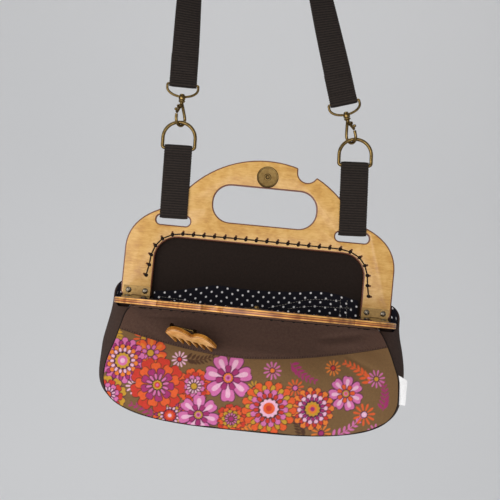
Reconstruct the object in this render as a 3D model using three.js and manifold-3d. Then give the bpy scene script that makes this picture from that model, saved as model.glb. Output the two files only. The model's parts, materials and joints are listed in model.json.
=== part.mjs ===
// Mini frame handbag: two plywood handle plates hinged at their feet, a cloth body sewn round their arches, and a
// webbing shoulder strap on two swivel hooks. Millimetres, +X to the right as the bag is seen, -Y to the front, +Z up.
// The back plate stands and the front plate lies open towards the viewer. The bag hangs by its strap, and the origin
// is the underside of the strap at its highest point. Inside the bag group, z = 0 is the hinge axis.

import * as THREE from 'three'
import { mergeVertices } from 'three/addons/utils/BufferGeometryUtils.js'
import Module from 'manifold-3d'

const wasm = await Module()
wasm.setup()

const { PI, sin, cos, sqrt, abs, min, max, hypot, atan2 } = Math
const degree = PI / 180

// Clearance that touching pieces keep
const gap = 0.3

// Plywood plates
const plateThickness = 5.4
const plateHalfWidth = 123.3
const plateTop = 135.25
const humpRadius = 96
const footRound = 3.5
const footWidth = 27.7
const archTop = 57.25
const archCorner = 20
const handHoleWidth = 94.5
const handHoleHeight = 34
const handHoleRound = 16
const handHoleZ = 92.65
const slotWidth = 31
const slotHeight = 8.5
const slotInset = 1.97
const slotZ = 72.55
const notchX = 36.4
const notchRadius = 9
const notchDrop = 7.7
const openingAngle = 90 * degree

// Butt hinges and their screws
const barrelRadius = 1.75
const pinRadius = 0.7
const leafThickness = 1
const leafPlay = 0.2
const leafWidth = 24.4
const leafLength = 10
const hingeInset = 14.7
const screwRadius = 2.6
const screwHeight = 1.2
const screwPitch = 15

// Magnetic snap
const snapRadius = 9.85
const snapFlange = 1.2
const snapStudRadius = 2
const snapStudHeight = 2.2
const snapZ = 120.05

// Cloth body
const clothThickness = 1.2
const liningThickness = 0.8
const liningStand = 0.75
const bodyHeight = 108.2
const bodyHalfWidth = 132
const frontDepth = 42
const backDepth = 18
const bodySway = 1.7
const seamShift = 3.4
const sideFullness = 3.2
const archLap = 8.4
const archClothTop = 66
const archClothCorner = 22
const cornerHeight = 46.5
const creaseZ = 1.2
const mouthRise = 15
const yokeSide = 26.5
const yokeMiddle = 45
const seamLap = 0.45
const pocketHalfWidth = 93
const pocketTop = 15
const pocketDepth = 66

// Straps and metalwork
const webWidth = 25.4
const webThickness = 1.8
const loopLength = 66.4
const ringRadius = 14.8
const ringStraight = 9.4
const ringWire = 1.6
const hookLength = 22.6
const hookBend = 6.4
const hookWire = 1.25
const barrelWidth = 2.9
const collarRadius = 3.2
const studRadius = 1.2
const studHead = 2.3
const gateThickness = 1.8
const gateRoot = 1.6
const gatePin = 0.6
const knobRadius = 1.6
const eyeHalfWidth = 14.3
const eyeHeight = 12.4
const eyeWire = 1.1
const eyeCorner = 1.2
const bossRadius = 3.1
const bossHeight = 4.2
const foldLength = 28
const bightRadius = 33

// Brooch and side tag
const broochHalfWidth = 23.4
const broochRise = 9
const broochDrop = 12
const broochThickness = 3.8
const broochX = -52.9
const broochDown = 29.5
const broochTip = 58 * degree
const broochSlope = 19 * degree
const broochTurn = -15 * degree
const broochStand = 0.7
const toothCount = 6
const tagWidth = 8.2
const tagLength = 26
const tagDown = 47
const tagThickness = 1

// What follows from the sizes above
const innerFace = leafThickness + gap + leafPlay
const plateMiddle = innerFace + plateThickness / 2
const plateBack = innerFace + plateThickness
const footHeight = barrelRadius - gap
const humpCentre = plateTop - humpRadius
const archHalfWidth = plateHalfWidth - footWidth
const archCloth = archHalfWidth + archLap
const hingeX = plateHalfWidth - hingeInset
const shoulderX = humpRadius * 0.8747
const slotX = shoulderX - slotInset

// Each row is a level of the cloth body, evenly spaced from the hinge axis to the bottom. Half widths and puff are
// shares of bodyHalfWidth, front columns are shares of frontDepth and back columns are shares of backDepth.
const levels = [
  { frontHalf: 0.790, backHalf: 0.828, puff: 0.165, frontSeam: 0.34, belly: 0.30, backSeam: 0.00, backBelly: 0.00 },
  { frontHalf: 0.866, backHalf: 0.890, puff: 0.106, frontSeam: 0.44, belly: 0.34, backSeam: 0.15, backBelly: 0.18 },
  { frontHalf: 0.905, backHalf: 0.935, puff: 0.080, frontSeam: 0.54, belly: 0.52, backSeam: 0.32, backBelly: 0.43 },
  { frontHalf: 0.943, backHalf: 0.965, puff: 0.060, frontSeam: 0.62, belly: 0.78, backSeam: 0.46, backBelly: 0.68 },
  { frontHalf: 0.981, backHalf: 0.987, puff: 0.034, frontSeam: 0.67, belly: 0.94, backSeam: 0.57, backBelly: 0.88 },
  { frontHalf: 1.000, backHalf: 1.000, puff: 0.023, frontSeam: 0.69, belly: 1.00, backSeam: 0.65, backBelly: 1.00 },
  { frontHalf: 1.000, backHalf: 1.000, puff: 0.020, frontSeam: 0.69, belly: 0.95, backSeam: 0.70, backBelly: 1.00 },
  { frontHalf: 1.000, backHalf: 1.000, puff: 0.018, frontSeam: 0.67, belly: 0.83, backSeam: 0.70, backBelly: 0.88 },
  { frontHalf: 1.000, backHalf: 1.000, puff: 0.015, frontSeam: 0.64, belly: 0.67, backSeam: 0.66, backBelly: 0.68 },
]

// Soft upright folds of the front panel: place across and width as shares of the half width, depth of frontDepth.
const folds = [
  { across: -0.70, width: 0.16, depth: 0.050 },
  { across: -0.12, width: 0.20, depth: -0.045 },
  { across: 0.30, width: 0.18, depth: 0.040 },
  { across: 0.68, width: 0.16, depth: -0.045 },
]

// The pocket's top edge, evenly spaced from left to right, as shares of pocketTop.
const pocketEdge = [0.48, 0.62, 0.9, 1.16, 1.1, 1.1, 1.15, 1.24, 1.4, 1.3, 1.06]

// What differs between the two ends of the strap: how far each piece leans to the left and is turned on its axis.
const sides = [
  { name: 'left', x: -1, loopLean: 1.7 * degree, strapLean: 1.5 * degree, hookTurn: -125 * degree, eyeTurn: 10 * degree },
  { name: 'right', x: 1, loopLean: 3 * degree, strapLean: 17.5 * degree, hookTurn: -55 * degree, eyeTurn: 0 },
]

const materials = {
  plywood: new THREE.MeshStandardMaterial({ color: 0xd9a765, roughness: 0.5, metalness: 0 }),
  brass: new THREE.MeshStandardMaterial({ color: 0x8a7a4a, roughness: 0.35, metalness: 1 }),
  canvas: new THREE.MeshStandardMaterial({ color: 0x45342c, roughness: 0.9, metalness: 0 }),
  print: new THREE.MeshStandardMaterial({ color: 0x9c6a4a, roughness: 0.9, metalness: 0 }),
  lining: new THREE.MeshStandardMaterial({ color: 0x1d1c2c, roughness: 0.9, metalness: 0 }),
  webbing: new THREE.MeshStandardMaterial({ color: 0x33261e, roughness: 0.9, metalness: 0 }),
  tape: new THREE.MeshStandardMaterial({ color: 0xe8e4dc, roughness: 0.9, metalness: 0 }),
}

const mix = (a, b, t) => a + (b - a) * t

function smooth(from, to, value) {
  const t = min(1, max(0, (value - from) / (to - from)))
  return t * t * (3 - 2 * t)
}

// Reads a column of evenly spaced rows along a smooth curve, from 0 at the first row to 1 at the last.
function curveThrough(values) {
  const points = values.map((value, i) => new THREE.Vector2(i, value))
  const curve = new THREE.SplineCurve(points)
  return (share) => curve.getPoint(min(1, max(0, share))).y
}

const level = {}
for (const column of Object.keys(levels[0])) {
  level[column] = curveThrough(levels.map((row) => row[column]))
}

// Closed bodies
function closedBody(corners, triangles) {
  let volume = 0
  for (const [a, b, c] of triangles) {
    volume += corners[a].clone().cross(corners[b]).dot(corners[c])
  }
  const facing = volume < 0 ? triangles.map(([a, b, c]) => [a, c, b]) : triangles
  const geometry = new THREE.BufferGeometry().setFromPoints(corners)
  geometry.setIndex(facing.flat())
  geometry.computeVertexNormals()
  return geometry
}

function solidOf(geometry) {
  const bare = geometry.clone()
  bare.deleteAttribute('normal')
  bare.deleteAttribute('uv')
  const merged = mergeVertices(bare, 1e-4)
  const vertProperties = Float32Array.from(merged.attributes.position.array)
  const triVerts = Uint32Array.from(merged.index.array)
  return new wasm.Manifold(new wasm.Mesh({ numProp: 3, vertProperties, triVerts }))
}

function geometryOf(solid) {
  const mesh = solid.getMesh()
  const geometry = new THREE.BufferGeometry()
  geometry.setAttribute('position', new THREE.BufferAttribute(Float32Array.from(mesh.vertProperties), 3))
  geometry.setIndex(new THREE.BufferAttribute(Uint32Array.from(mesh.triVerts), 1))
  geometry.computeVertexNormals()
  return geometry
}

function join(first, ...others) {
  return geometryOf(others.reduce((sum, other) => sum.add(solidOf(other)), solidOf(first)))
}

function cut(body, ...tools) {
  return geometryOf(tools.reduce((rest, tool) => rest.subtract(solidOf(tool)), solidOf(body)))
}

function box(x0, x1, y0, y1, z0, z1) {
  const geometry = new THREE.BoxGeometry(x1 - x0, y1 - y0, z1 - z0)
  return geometry.translate((x0 + x1) / 2, (y0 + y1) / 2, (z0 + z1) / 2)
}

function rod(radius, from, to, sides = 16) {
  const along = to.clone().sub(from)
  const geometry = new THREE.CylinderGeometry(radius, radius, along.length(), sides)
  geometry.applyQuaternion(new THREE.Quaternion().setFromUnitVectors(new THREE.Vector3(0, 1, 0), along.normalize()))
  const middle = from.clone().add(to).multiplyScalar(0.5)
  return geometry.translate(middle.x, middle.y, middle.z)
}

// A body turned about the z axis from pairs of radius and height.
function turned(profile, segments) {
  const geometry = new THREE.LatheGeometry(profile.map(([r, z]) => new THREE.Vector2(r, z)), segments)
  return geometry.rotateX(PI / 2)
}

function arc(x, z, radius, from, to, steps) {
  return Array.from({ length: steps + 1 }, (_, i) => {
    const angle = mix(from, to, i / steps) * degree
    return new THREE.Vector2(x + radius * cos(angle), z + radius * sin(angle))
  })
}

function roundedOblong(x, z, width, height, radius, steps) {
  const dx = width / 2 - radius
  const dz = height / 2 - radius
  return [
    ...arc(x + dx, z + dz, radius, 0, 90, steps),
    ...arc(x - dx, z + dz, radius, 90, 180, steps),
    ...arc(x - dx, z - dz, radius, 180, 270, steps),
    ...arc(x + dx, z - dz, radius, 270, 360, steps),
  ]
}

// An outline drawn in x and z, given thickness from y0 to y1.
function slab(outline, holes, y0, y1) {
  const shape = new THREE.Shape(outline)
  shape.holes = holes.map((hole) => new THREE.Path(hole))
  const geometry = new THREE.ExtrudeGeometry(shape, { depth: y1 - y0, bevelEnabled: false })
  return geometry.rotateX(PI / 2).translate(0, y1, 0)
}

// A round wire along points in the x-z plane.
function wire(points, radius, sides, closed) {
  const count = points.length
  const corners = []
  for (let i = 0; i < count; i++) {
    const before = points[closed ? (i + count - 1) % count : max(i - 1, 0)]
    const after = points[closed ? (i + 1) % count : min(i + 1, count - 1)]
    const run = new THREE.Vector2().subVectors(after, before).normalize()
    for (let k = 0; k < sides; k++) {
      const angle = (2 * PI * k) / sides
      const out = radius * cos(angle)
      corners.push(new THREE.Vector3(points[i].x + run.y * out, radius * sin(angle), points[i].y - run.x * out))
    }
  }
  const triangles = []
  for (let i = 0; i < (closed ? count : count - 1); i++) {
    for (let k = 0; k < sides; k++) {
      const next = (k + 1) % sides
      const a = i * sides
      const b = ((i + 1) % count) * sides
      triangles.push([a + k, a + next, b + next], [a + k, b + next, b + k])
    }
  }
  if (!closed) {
    const last = (count - 1) * sides
    for (let k = 1; k < sides - 1; k++) {
      triangles.push([0, k + 1, k], [last, last + k, last + k + 1])
    }
  }
  return closedBody(corners, triangles)
}

// A wall of cloth between two offsets behind the face that `at` gives for each column and row.
function clothWall(at, columns, rows, from, to) {
  const face = rows.map((row) => columns.map((column) => at(column, row)))
  const lastRow = rows.length - 1
  const lastColumn = columns.length - 1
  const across = columns.length
  const corners = []
  for (const depth of [from, to]) {
    face.forEach((line, j) => line.forEach((point, i) => {
      const u = new THREE.Vector3().subVectors(face[j][min(i + 1, lastColumn)], face[j][max(i - 1, 0)])
      const v = new THREE.Vector3().subVectors(face[min(j + 1, lastRow)][i], face[max(j - 1, 0)][i])
      corners.push(point.clone().addScaledVector(v.cross(u).normalize(), -depth))
    }))
  }
  const back = across * rows.length
  const triangles = []
  const quad = (a, b, c, d) => triangles.push([a, b, c], [a, c, d])
  for (let j = 0; j < lastRow; j++) {
    for (let i = 0; i < lastColumn; i++) {
      const a = j * across + i
      quad(a, a + 1, a + across + 1, a + across)
      quad(back + a, back + a + across, back + a + across + 1, back + a + 1)
    }
  }
  for (let i = 0; i < lastColumn; i++) {
    const low = lastRow * across + i
    quad(i + 1, i, back + i, back + i + 1)
    quad(low, low + 1, back + low + 1, back + low)
  }
  for (let j = 0; j < lastRow; j++) {
    const left = j * across
    const right = left + lastColumn
    quad(left, left + across, back + left + across, back + left)
    quad(right + across, right, back + right, back + right + across)
  }
  return closedBody(corners, triangles)
}

// How finely the cloth is faceted
const clothColumns = 20

const steps = (count) => Array.from({ length: count + 1 }, (_, i) => i / count)

// Columns from -1 to 1, closer together towards the sides, where the outlines turn.
const acrossColumns = (count) => steps(count).map((t) => mix(2 * t - 1, sin((t - 0.5) * PI), 0.6))

// The share of a round corner's height that is left at a place across, for a corner of the given fullness.
const cornerShare = (across, fullness) => (1 - abs(across) ** fullness) ** (1 / fullness)

// Plates
const onHump = (x) => humpCentre + sqrt(humpRadius ** 2 - x ** 2)

function plateOutline() {
  const shoulder = atan2(onHump(shoulderX) - humpCentre, shoulderX) / degree
  const notchZ = plateTop - notchDrop
  const lipLeft = notchX - notchRadius
  const lipRight = notchX + notchRadius * 0.97
  const lipAngle = (x) => atan2(onHump(x) - humpCentre, x) / degree
  const biteStart = atan2(onHump(lipRight) - notchZ, lipRight - notchX) / degree
  const flank = new THREE.QuadraticBezierCurve(
    new THREE.Vector2(plateHalfWidth, plateTop * 0.342),
    new THREE.Vector2(plateHalfWidth * 0.9895, plateTop * 0.519),
    new THREE.Vector2(mix(shoulderX, plateHalfWidth, 0.291), plateTop * 0.605),
  ).getPoints(10)
  const footX = plateHalfWidth - footRound
  const footZ = footHeight + footRound
  return [
    new THREE.Vector2(archHalfWidth, footHeight),
    ...arc(footX, footZ, footRound, -90, 0, 5),
    ...flank,
    ...arc(0, humpCentre, humpRadius, shoulder, lipAngle(lipRight), 8),
    ...arc(notchX, notchZ, notchRadius, biteStart, -180, 12),
    ...arc(0, humpCentre, humpRadius, lipAngle(lipLeft), 180 - shoulder, 22),
    ...flank.map((p) => new THREE.Vector2(-p.x, p.y)).reverse(),
    ...arc(-footX, footZ, footRound, 180, 270, 5),
    new THREE.Vector2(-archHalfWidth, footHeight),
    ...arc(-archHalfWidth + archCorner, archTop - archCorner, archCorner, 180, 90, 8),
    ...arc(archHalfWidth - archCorner, archTop - archCorner, archCorner, 90, 0, 8),
  ]
}

function plate() {
  const holes = [
    roundedOblong(0, handHoleZ, handHoleWidth, handHoleHeight, handHoleRound, 8),
    roundedOblong(-slotX, slotZ, slotWidth, slotHeight, slotHeight * 0.47, 4),
    roundedOblong(slotX, slotZ, slotWidth, slotHeight, slotHeight * 0.47, 4),
  ]
  return slab(plateOutline(), holes, innerFace, plateBack)
}

// Hinges: one leaf carries the outer knuckles, the other the middle one
function hingeLeaf(knuckles) {
  const axisPoint = (x) => new THREE.Vector3(x, 0, 0)
  const half = leafWidth / 2
  const clear = barrelRadius + gap
  const parts = [box(-half, half, leafPlay, leafPlay + leafThickness, clear, leafLength)]
  for (const [x0, x1] of knuckles) {
    parts.push(rod(barrelRadius, axisPoint(x0), axisPoint(x1), 12))
    parts.push(box(x0, x1, leafPlay, leafPlay + leafThickness, 0, clear + leafThickness))
  }
  return cut(join(...parts), rod(pinRadius + gap, axisPoint(-half - 1), axisPoint(half + 1), 12))
}

const screwHead = () => turned([
  [0, 0],
  [screwRadius, 0],
  [screwRadius * 0.7, screwHeight * 0.8],
  [0, screwHeight],
], 10)

// Snap halves, drawn with their axis along z
const snapDisc = () => turned([
  [0, 0],
  [snapRadius, 0],
  [snapRadius, snapFlange * 0.5],
  [snapRadius * 0.94, snapFlange],
  [snapRadius * 0.76, snapFlange * 0.75],
  [snapStudRadius + 2 * gap, snapFlange * 0.75],
  [snapStudRadius + gap, snapFlange * 0.3],
  [0, snapFlange * 0.3],
], 20)

const snapStud = () => turned([
  [0, 0],
  [snapRadius, 0],
  [snapRadius * 0.94, snapFlange * 0.5],
  [snapStudRadius, snapFlange * 0.5],
  [snapStudRadius, snapFlange * 0.5 + snapStudHeight * 0.7],
  [snapStudRadius * 0.6, snapFlange * 0.5 + snapStudHeight],
  [0, snapFlange * 0.5 + snapStudHeight],
], 20)

// Cloth surfaces. Depths are measured down from the hinge axis.
const plateUnder = plateBack
const cloth = {
  archFace: plateUnder + gap + clothThickness,
  backFace: plateBack + gap + clothThickness,
}
const cornerTop = bodyHeight - cornerHeight
const share = (z) => -z / bodyHeight
const sway = (z) => bodySway * max(0, share(z)) ** 1.5
const seamFront = (z) => -frontDepth * level.frontSeam(share(z))
const seamBack = (z) => cloth.backFace + backDepth * level.backSeam(share(z))
const halfFront = (z) => bodyHalfWidth * level.frontHalf(share(z))
const halfBack = (z) => bodyHalfWidth * level.backHalf(share(z))


// The hang of the body pulls both front seams to the right, the left one further down than the right one, and the
// gusset is fuller there.
function pull(across, z) {
  const left = smooth(0.1, 0.45, share(z)) * (1 - smooth(0.64, 0.9, share(z)))
  const right = 0.8 * smooth(0.05, 0.3, share(z)) * (1 - smooth(0.42, 0.62, share(z)))
  return seamShift * abs(across) * (across < 0 ? left : right)
}

function fullness(across, z) {
  const left = 0.8 * smooth(0.1, 0.45, share(z)) * (1 - smooth(0.64, 0.9, share(z)))
  const right = 1 - smooth(0.5, 0.8, share(z))
  return sideFullness * abs(across) * (across < 0 ? left : right)
}

function frontFace(across, z) {
  const bulge = 1 - abs(across) ** 2.4
  const belly = -frontDepth * level.belly(share(z))
  let y = mix(seamFront(z), belly, bulge)
  const fade = smooth(cloth.archFace + creaseZ, bodyHeight * 0.5, -z) * smooth(0, 0.3, 1 - abs(across))
  for (const fold of folds) {
    y -= frontDepth * fold.depth * fade * Math.exp(-(((across - fold.across) / fold.width) ** 2))
  }
  return new THREE.Vector3(across * halfFront(z) + pull(across, z) + sway(z), y, z)
}

const panelBottom = (across) => -cornerTop - cornerHeight * cornerShare(across, 3)
const yokeEdge = (across) => -mix(yokeMiddle, yokeSide, abs(across + 0.1) ** 1.6)

// The yoke is sewn round the open front plate's arch, lies under that plate, turns down at a crease and ends at the
// printed panel.
function yoke() {
  const bendTop = -cloth.archFace
  const start = bendTop - creaseZ
  const archRows = 4
  const bendRows = 3
  const panelRows = 5
  const at = (across, row) => {
    const crease = frontFace(across, start)
    if (row < archRows) {
      const edge = archClothTop - archClothCorner + archClothCorner * cornerShare(across, 4)
      const y = mix(-edge, crease.y - creaseZ, row / archRows)
      return new THREE.Vector3(mix(across * archCloth, crease.x, smooth(0.6, 1, row / archRows)), y, bendTop)
    }
    if (row < archRows + bendRows) {
      const angle = ((row - archRows) / bendRows) * (PI / 2)
      return new THREE.Vector3(crease.x, crease.y - creaseZ + creaseZ * sin(angle), start + creaseZ * cos(angle))
    }
    return frontFace(across, mix(start, yokeEdge(across), (row - archRows - bendRows) / panelRows))
  }
  const rows = steps(archRows + bendRows + panelRows).map((t) => t * (archRows + bendRows + panelRows))
  return clothWall(at, acrossColumns(clothColumns), rows.map((row) => Math.round(row)), 0, clothThickness)
}

function printedPanel() {
  const at = (across, t) => frontFace(across, mix(yokeEdge(across) - gap, panelBottom(across), t))
  return clothWall(at, acrossColumns(clothColumns), steps(8), 0, clothThickness)
}

function backFacePoint(across, z) {
  const width = z > 0 ? mix(halfBack(0), archCloth, smooth(0, mouthRise, z)) : halfBack(z)
  const bulge = 1 - abs(across) ** 2.4
  const belly = cloth.backFace + backDepth * level.backBelly(share(z))
  return new THREE.Vector3(across * width + sway(z), mix(seamBack(z), belly, bulge), z)
}

function backPanel() {
  const at = (across, row) => {
    const edge = archClothTop - archClothCorner + archClothCorner * cornerShare(across, 4)
    const z = row < 0 ? mix(0, edge, -row) : mix(0, panelBottom(across), row)
    return backFacePoint(-across, z)
  }
  const rows = [-1, -0.8, -0.4, -0.12, ...steps(8)]
  return clothWall(at, acrossColumns(clothColumns), rows, 0, clothThickness)
}

// The gusset runs from the mouth down one side, under the bottom and up the other side. `turn` goes from 0 at the
// back seam to 1 at the front seam.
const mouthEdge = (turn) => mix(mouthRise, -cloth.archFace - creaseZ - gap, smooth(0.15, 0.8, turn))
const seamInset = clothThickness + seamLap

function gussetPoint(turn, side, z, across) {
  const beside = 1.5 * gap * (1 - smooth(0, cloth.archFace, -z))
  const out = side * across
  const puff = sin(PI * turn) * (bodyHalfWidth * level.puff(share(z)) + fullness(out, z)) + beside
  const half = mix(halfBack(z), halfFront(z), turn) + puff
  const forward = smooth(0.22, 1.12, turn) / smooth(0.22, 1.12, 1)
  const back = seamBack(z) - (z > 0 ? 0 : seamInset * smooth(0, cloth.archFace, -z))
  const y = mix(back, seamFront(z) + seamInset, mix(forward, turn, smooth(0, cornerTop, -z)))
  return new THREE.Vector3(half * out + pull(out, z) * turn + sway(z), y, z)
}

function gussetRows() {
  const sideRows = 7
  const bottomRows = 16
  const rows = []
  for (let i = 0; i < sideRows; i++) rows.push({ side: -1, drop: i / sideRows })
  for (let i = 0; i <= bottomRows; i++) rows.push({ side: 0, across: sin((i / bottomRows - 0.5) * PI) })
  for (let i = sideRows - 1; i >= 0; i--) rows.push({ side: 1, drop: i / sideRows })
  return rows
}

function gussetAt(turn, row) {
  if (row.side !== 0) {
    return gussetPoint(turn, row.side, mix(mouthEdge(turn), -cornerTop, row.drop), 1)
  }
  const bottom = panelBottom(row.across) - bodyHalfWidth * level.puff(1) * sin(PI * turn) * cornerShare(row.across, 3)
  const edge = gussetPoint(turn, 1, -cornerTop, row.across)
  return edge.setZ(bottom).setY(gussetPoint(turn, 1, max(bottom, -bodyHeight), row.across).y)
}

const gusset = () => clothWall(gussetAt, steps(8), gussetRows(), 0, clothThickness)

function sideLining(side) {
  const from = clothThickness + liningStand
  const turns = steps(5).map((t) => mix(0.36, 0.84, t))
  const at = (turn, drop) => gussetPoint(turn, side, mix(mouthEdge(turn) - gap, -cornerTop, drop), 1)
  const wall = side < 0 ? (turn, drop) => at(turn, drop) : (turn, drop) => at(1.2 - turn, drop)
  return clothWall(wall, turns, steps(5), from, from + liningThickness)
}

function pocket() {
  const edge = curveThrough(pocketEdge)
  const at = (across, t) => {
    const top = pocketTop * edge((1 - across) / 2)
    const z = mix(top, -pocketDepth, t)
    const point = backFacePoint((-across * pocketHalfWidth) / halfBack(min(z, 0)), z)
    return point.setX(-across * pocketHalfWidth + sway(z))
  }
  const from = clothThickness + liningStand
  return clothWall(at, steps(16).map((t) => 2 * t - 1), steps(5), from, from + liningThickness)
}

// A webbing loop through a plate's slot and over the ring's bar, drawn in the side's own frame at the slot's centre
function webLoop(side) {
  const rise = (webWidth / 2) * sin(side.loopLean)
  const low = slotHeight / 2 - gap - rise
  const flat = onHump(slotX - webWidth / 2) - slotZ + 2 * rise + gap
  const wide = plateThickness / 2 + gap
  const narrow = ringWire + gap
  const ring = (grow) => {
    const bottom = low - grow
    return [
      new THREE.Vector2(wide + grow, bottom + grow * 0.5),
      new THREE.Vector2(wide + grow, flat),
      ...arc(0, loopLength, narrow + grow, 0, 180, 8),
      new THREE.Vector2(-wide - grow, flat),
      new THREE.Vector2(-wide - grow, bottom + grow * 0.5),
      new THREE.Vector2(-wide + gap, bottom),
      new THREE.Vector2(wide - gap, bottom),
    ]
  }
  const band = slab(ring(webThickness), [ring(0)], -webWidth / 2, webWidth / 2)
  return band.rotateZ(PI / 2)
}

// D-ring, drawn with the middle of its straight bar at the origin
function ringOutline() {
  const corner = ringWire * 1.5
  const half = ringRadius
  return [
    ...arc(-half + corner, corner, corner, 180, 270, 2),
    ...arc(half - corner, corner, corner, 270, 360, 2),
    ...arc(0, ringStraight, ringRadius, 0, 180, 16),
  ]
}

// Hook and gate are drawn with the ring's wire at the origin and the swivel axis along z
const gatePivot = new THREE.Vector2(gateRoot, hookLength - 2 * collarRadius - gateRoot + 0.2)
const hookTip = hookBend * 1.1

function hookBody() {
  const top = hookLength
  const bossHalf = bossHeight / 2
  const turnedBody = turned([
    [0, gatePivot.y - barrelWidth],
    [barrelWidth * 0.8, gatePivot.y - barrelWidth],
    [barrelWidth, gatePivot.y],
    [barrelWidth, top - bossHalf - gap - collarRadius],
    [collarRadius, top - bossHalf - gap - collarRadius * 0.8],
    [collarRadius, top - bossHalf - gap],
    [studRadius, top - bossHalf - gap],
    [studRadius, top + bossHalf + gap],
    [studHead, top + bossHalf + gap],
    [studHead * 0.8, top + bossHalf + studRadius],
    [0, top + bossHalf + studRadius],
  ], 12)
  const centre = -ringWire - gap - hookWire + hookBend
  const shoulder = new THREE.CubicBezierCurve(
    new THREE.Vector2(-barrelWidth * 0.3, gatePivot.y + barrelWidth * 0.3),
    new THREE.Vector2(-hookBend * 0.7, gatePivot.y - barrelWidth * 0.1),
    new THREE.Vector2(-hookBend, gatePivot.y - barrelWidth),
    new THREE.Vector2(-hookBend, centre),
  ).getPoints(6)
  const arm = wire([
    ...shoulder,
    ...arc(0, centre, hookBend, 180, 360, 10).slice(1),
    new THREE.Vector2(hookBend, hookTip),
  ], hookWire, 6, false)
  const cheek = gateThickness / 2 + gap
  const pivotAt = (y) => new THREE.Vector3(gatePivot.x, y, gatePivot.y)
  const lug = rod(gateRoot + 2 * gap, pivotAt(-collarRadius), pivotAt(collarRadius), 12)
  const slot = box(
    gatePivot.x - gateRoot - gap, 2 * hookBend, -cheek, cheek,
    gatePivot.y - 2 * barrelWidth, gatePivot.y + gateRoot + gap,
  )
  const bore = rod(gatePin + gap, pivotAt(-2 * collarRadius), pivotAt(2 * collarRadius), 10)
  return cut(join(turnedBody, arm, lug), slot, bore)
}

function gate() {
  const half = gateThickness / 2
  const pivot = new THREE.Vector3(gatePivot.x, 0, gatePivot.y)
  const end = new THREE.Vector3(hookBend, 0, hookTip + gap + gateRoot * 0.55)
  const run = end.clone().sub(pivot)
  const out = new THREE.Vector3(-run.z, 0, run.x).normalize()
  const lever = box(0, run.length(), -half, half, -gateRoot * 0.6, gateRoot * 0.55)
  lever.rotateY(-atan2(run.z, run.x)).translate(pivot.x, 0, pivot.z)
  const seat = pivot.clone().addScaledVector(run, 0.8)
  const knobCentre = seat.clone().addScaledVector(out, gateRoot + knobRadius * 0.7)
  const knob = new THREE.SphereGeometry(knobRadius, 8, 6).translate(knobCentre.x, 0, knobCentre.z)
  const neck = rod(half * 0.8, seat, knobCentre, 8)
  const hub = rod(gateRoot, pivot.clone().setY(-half), pivot.clone().setY(half), 12)
  const bore = rod(gatePin + gap, pivot.clone().setY(-2 * half), pivot.clone().setY(2 * half), 10)
  return cut(join(hub, lever, neck, knob), bore)
}

function gatePinRod() {
  const at = (y) => new THREE.Vector3(gatePivot.x, y, gatePivot.y)
  return rod(gatePin, at(-collarRadius), at(collarRadius), 10)
}

// Strap eye, drawn with the swivel at the origin
function strapEye() {
  const side = eyeHeight * 0.72
  const low = eyeWire * 0.9
  const lower = Array.from({ length: 13 }, (_, i) => {
    const angle = PI + (PI * i) / 12
    return new THREE.Vector2(eyeHalfWidth * cos(angle), side + (side - low) * sin(angle))
  })
  const path = [
    ...lower,
    ...arc(eyeHalfWidth - eyeCorner, eyeHeight - eyeCorner, eyeCorner, 0, 90, 2),
    ...arc(-eyeHalfWidth + eyeCorner, eyeHeight - eyeCorner, eyeCorner, 90, 180, 2),
  ]
  const at = (z) => new THREE.Vector3(0, 0, z)
  const boss = rod(bossRadius, at(-bossHeight / 2), at(bossHeight / 2), 12)
  const bore = rod(studRadius + gap, at(-bossHeight), at(bossHeight), 12)
  const seat = rod(studHead + gap, at(bossHeight / 2), at(bossHeight * 1.5), 12)
  return cut(join(wire(path, eyeWire, 6, true), boss), bore, seat)
}

// The strap's folded and sewn end, round the eye's bar at the origin
function strapFold() {
  const round = eyeWire + gap
  const foldOpening = 30
  const outline = [
    ...arc(0, 0, round + webThickness, -180 - foldOpening, foldOpening, 12),
    new THREE.Vector2(webThickness, round + 2 * webThickness),
    new THREE.Vector2(webThickness, foldLength),
    new THREE.Vector2(-webThickness, foldLength),
    new THREE.Vector2(-webThickness, round + 2 * webThickness),
  ]
  const hole = arc(0, 0, round, 0, 330, 11)
  return slab(outline, [hole], -webWidth / 2, webWidth / 2).rotateZ(PI / 2)
}

// Where each side's pieces stand in the bag's frame
function placeSide(side) {
  const up = (lean) => new THREE.Vector3(-sin(lean), 0, cos(lean))
  const slot = new THREE.Vector3(side.x * slotX, plateMiddle, slotZ)
  const bar = slot.clone().addScaledVector(up(side.loopLean), loopLength)
  const crown = bar.clone().addScaledVector(up(side.loopLean), ringStraight)
  const hang = crown.clone().addScaledVector(up(side.strapLean), ringRadius)
  const eyeBar = hang.clone().addScaledVector(up(side.strapLean), hookLength + eyeHeight)
  return { ...side, slot, bar, hang, eyeBar, up: up(side.strapLean) }
}

const [leftSide, rightSide] = sides.map(placeSide)

// The bight is the arc that both straight runs of the strap touch.
function findBight() {
  const across = (side) => new THREE.Vector2(side.up.z, -side.up.x)
  const a = across(leftSide)
  const b = across(rightSide).negate()
  const p = bightRadius + a.x * leftSide.eyeBar.x + a.y * leftSide.eyeBar.z
  const q = bightRadius + b.x * rightSide.eyeBar.x + b.y * rightSide.eyeBar.z
  const d = a.x * b.y - a.y * b.x
  return { x: (p * b.y - q * a.y) / d, z: (a.x * q - b.x * p) / d, a, b }
}

const bight = findBight()

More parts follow.
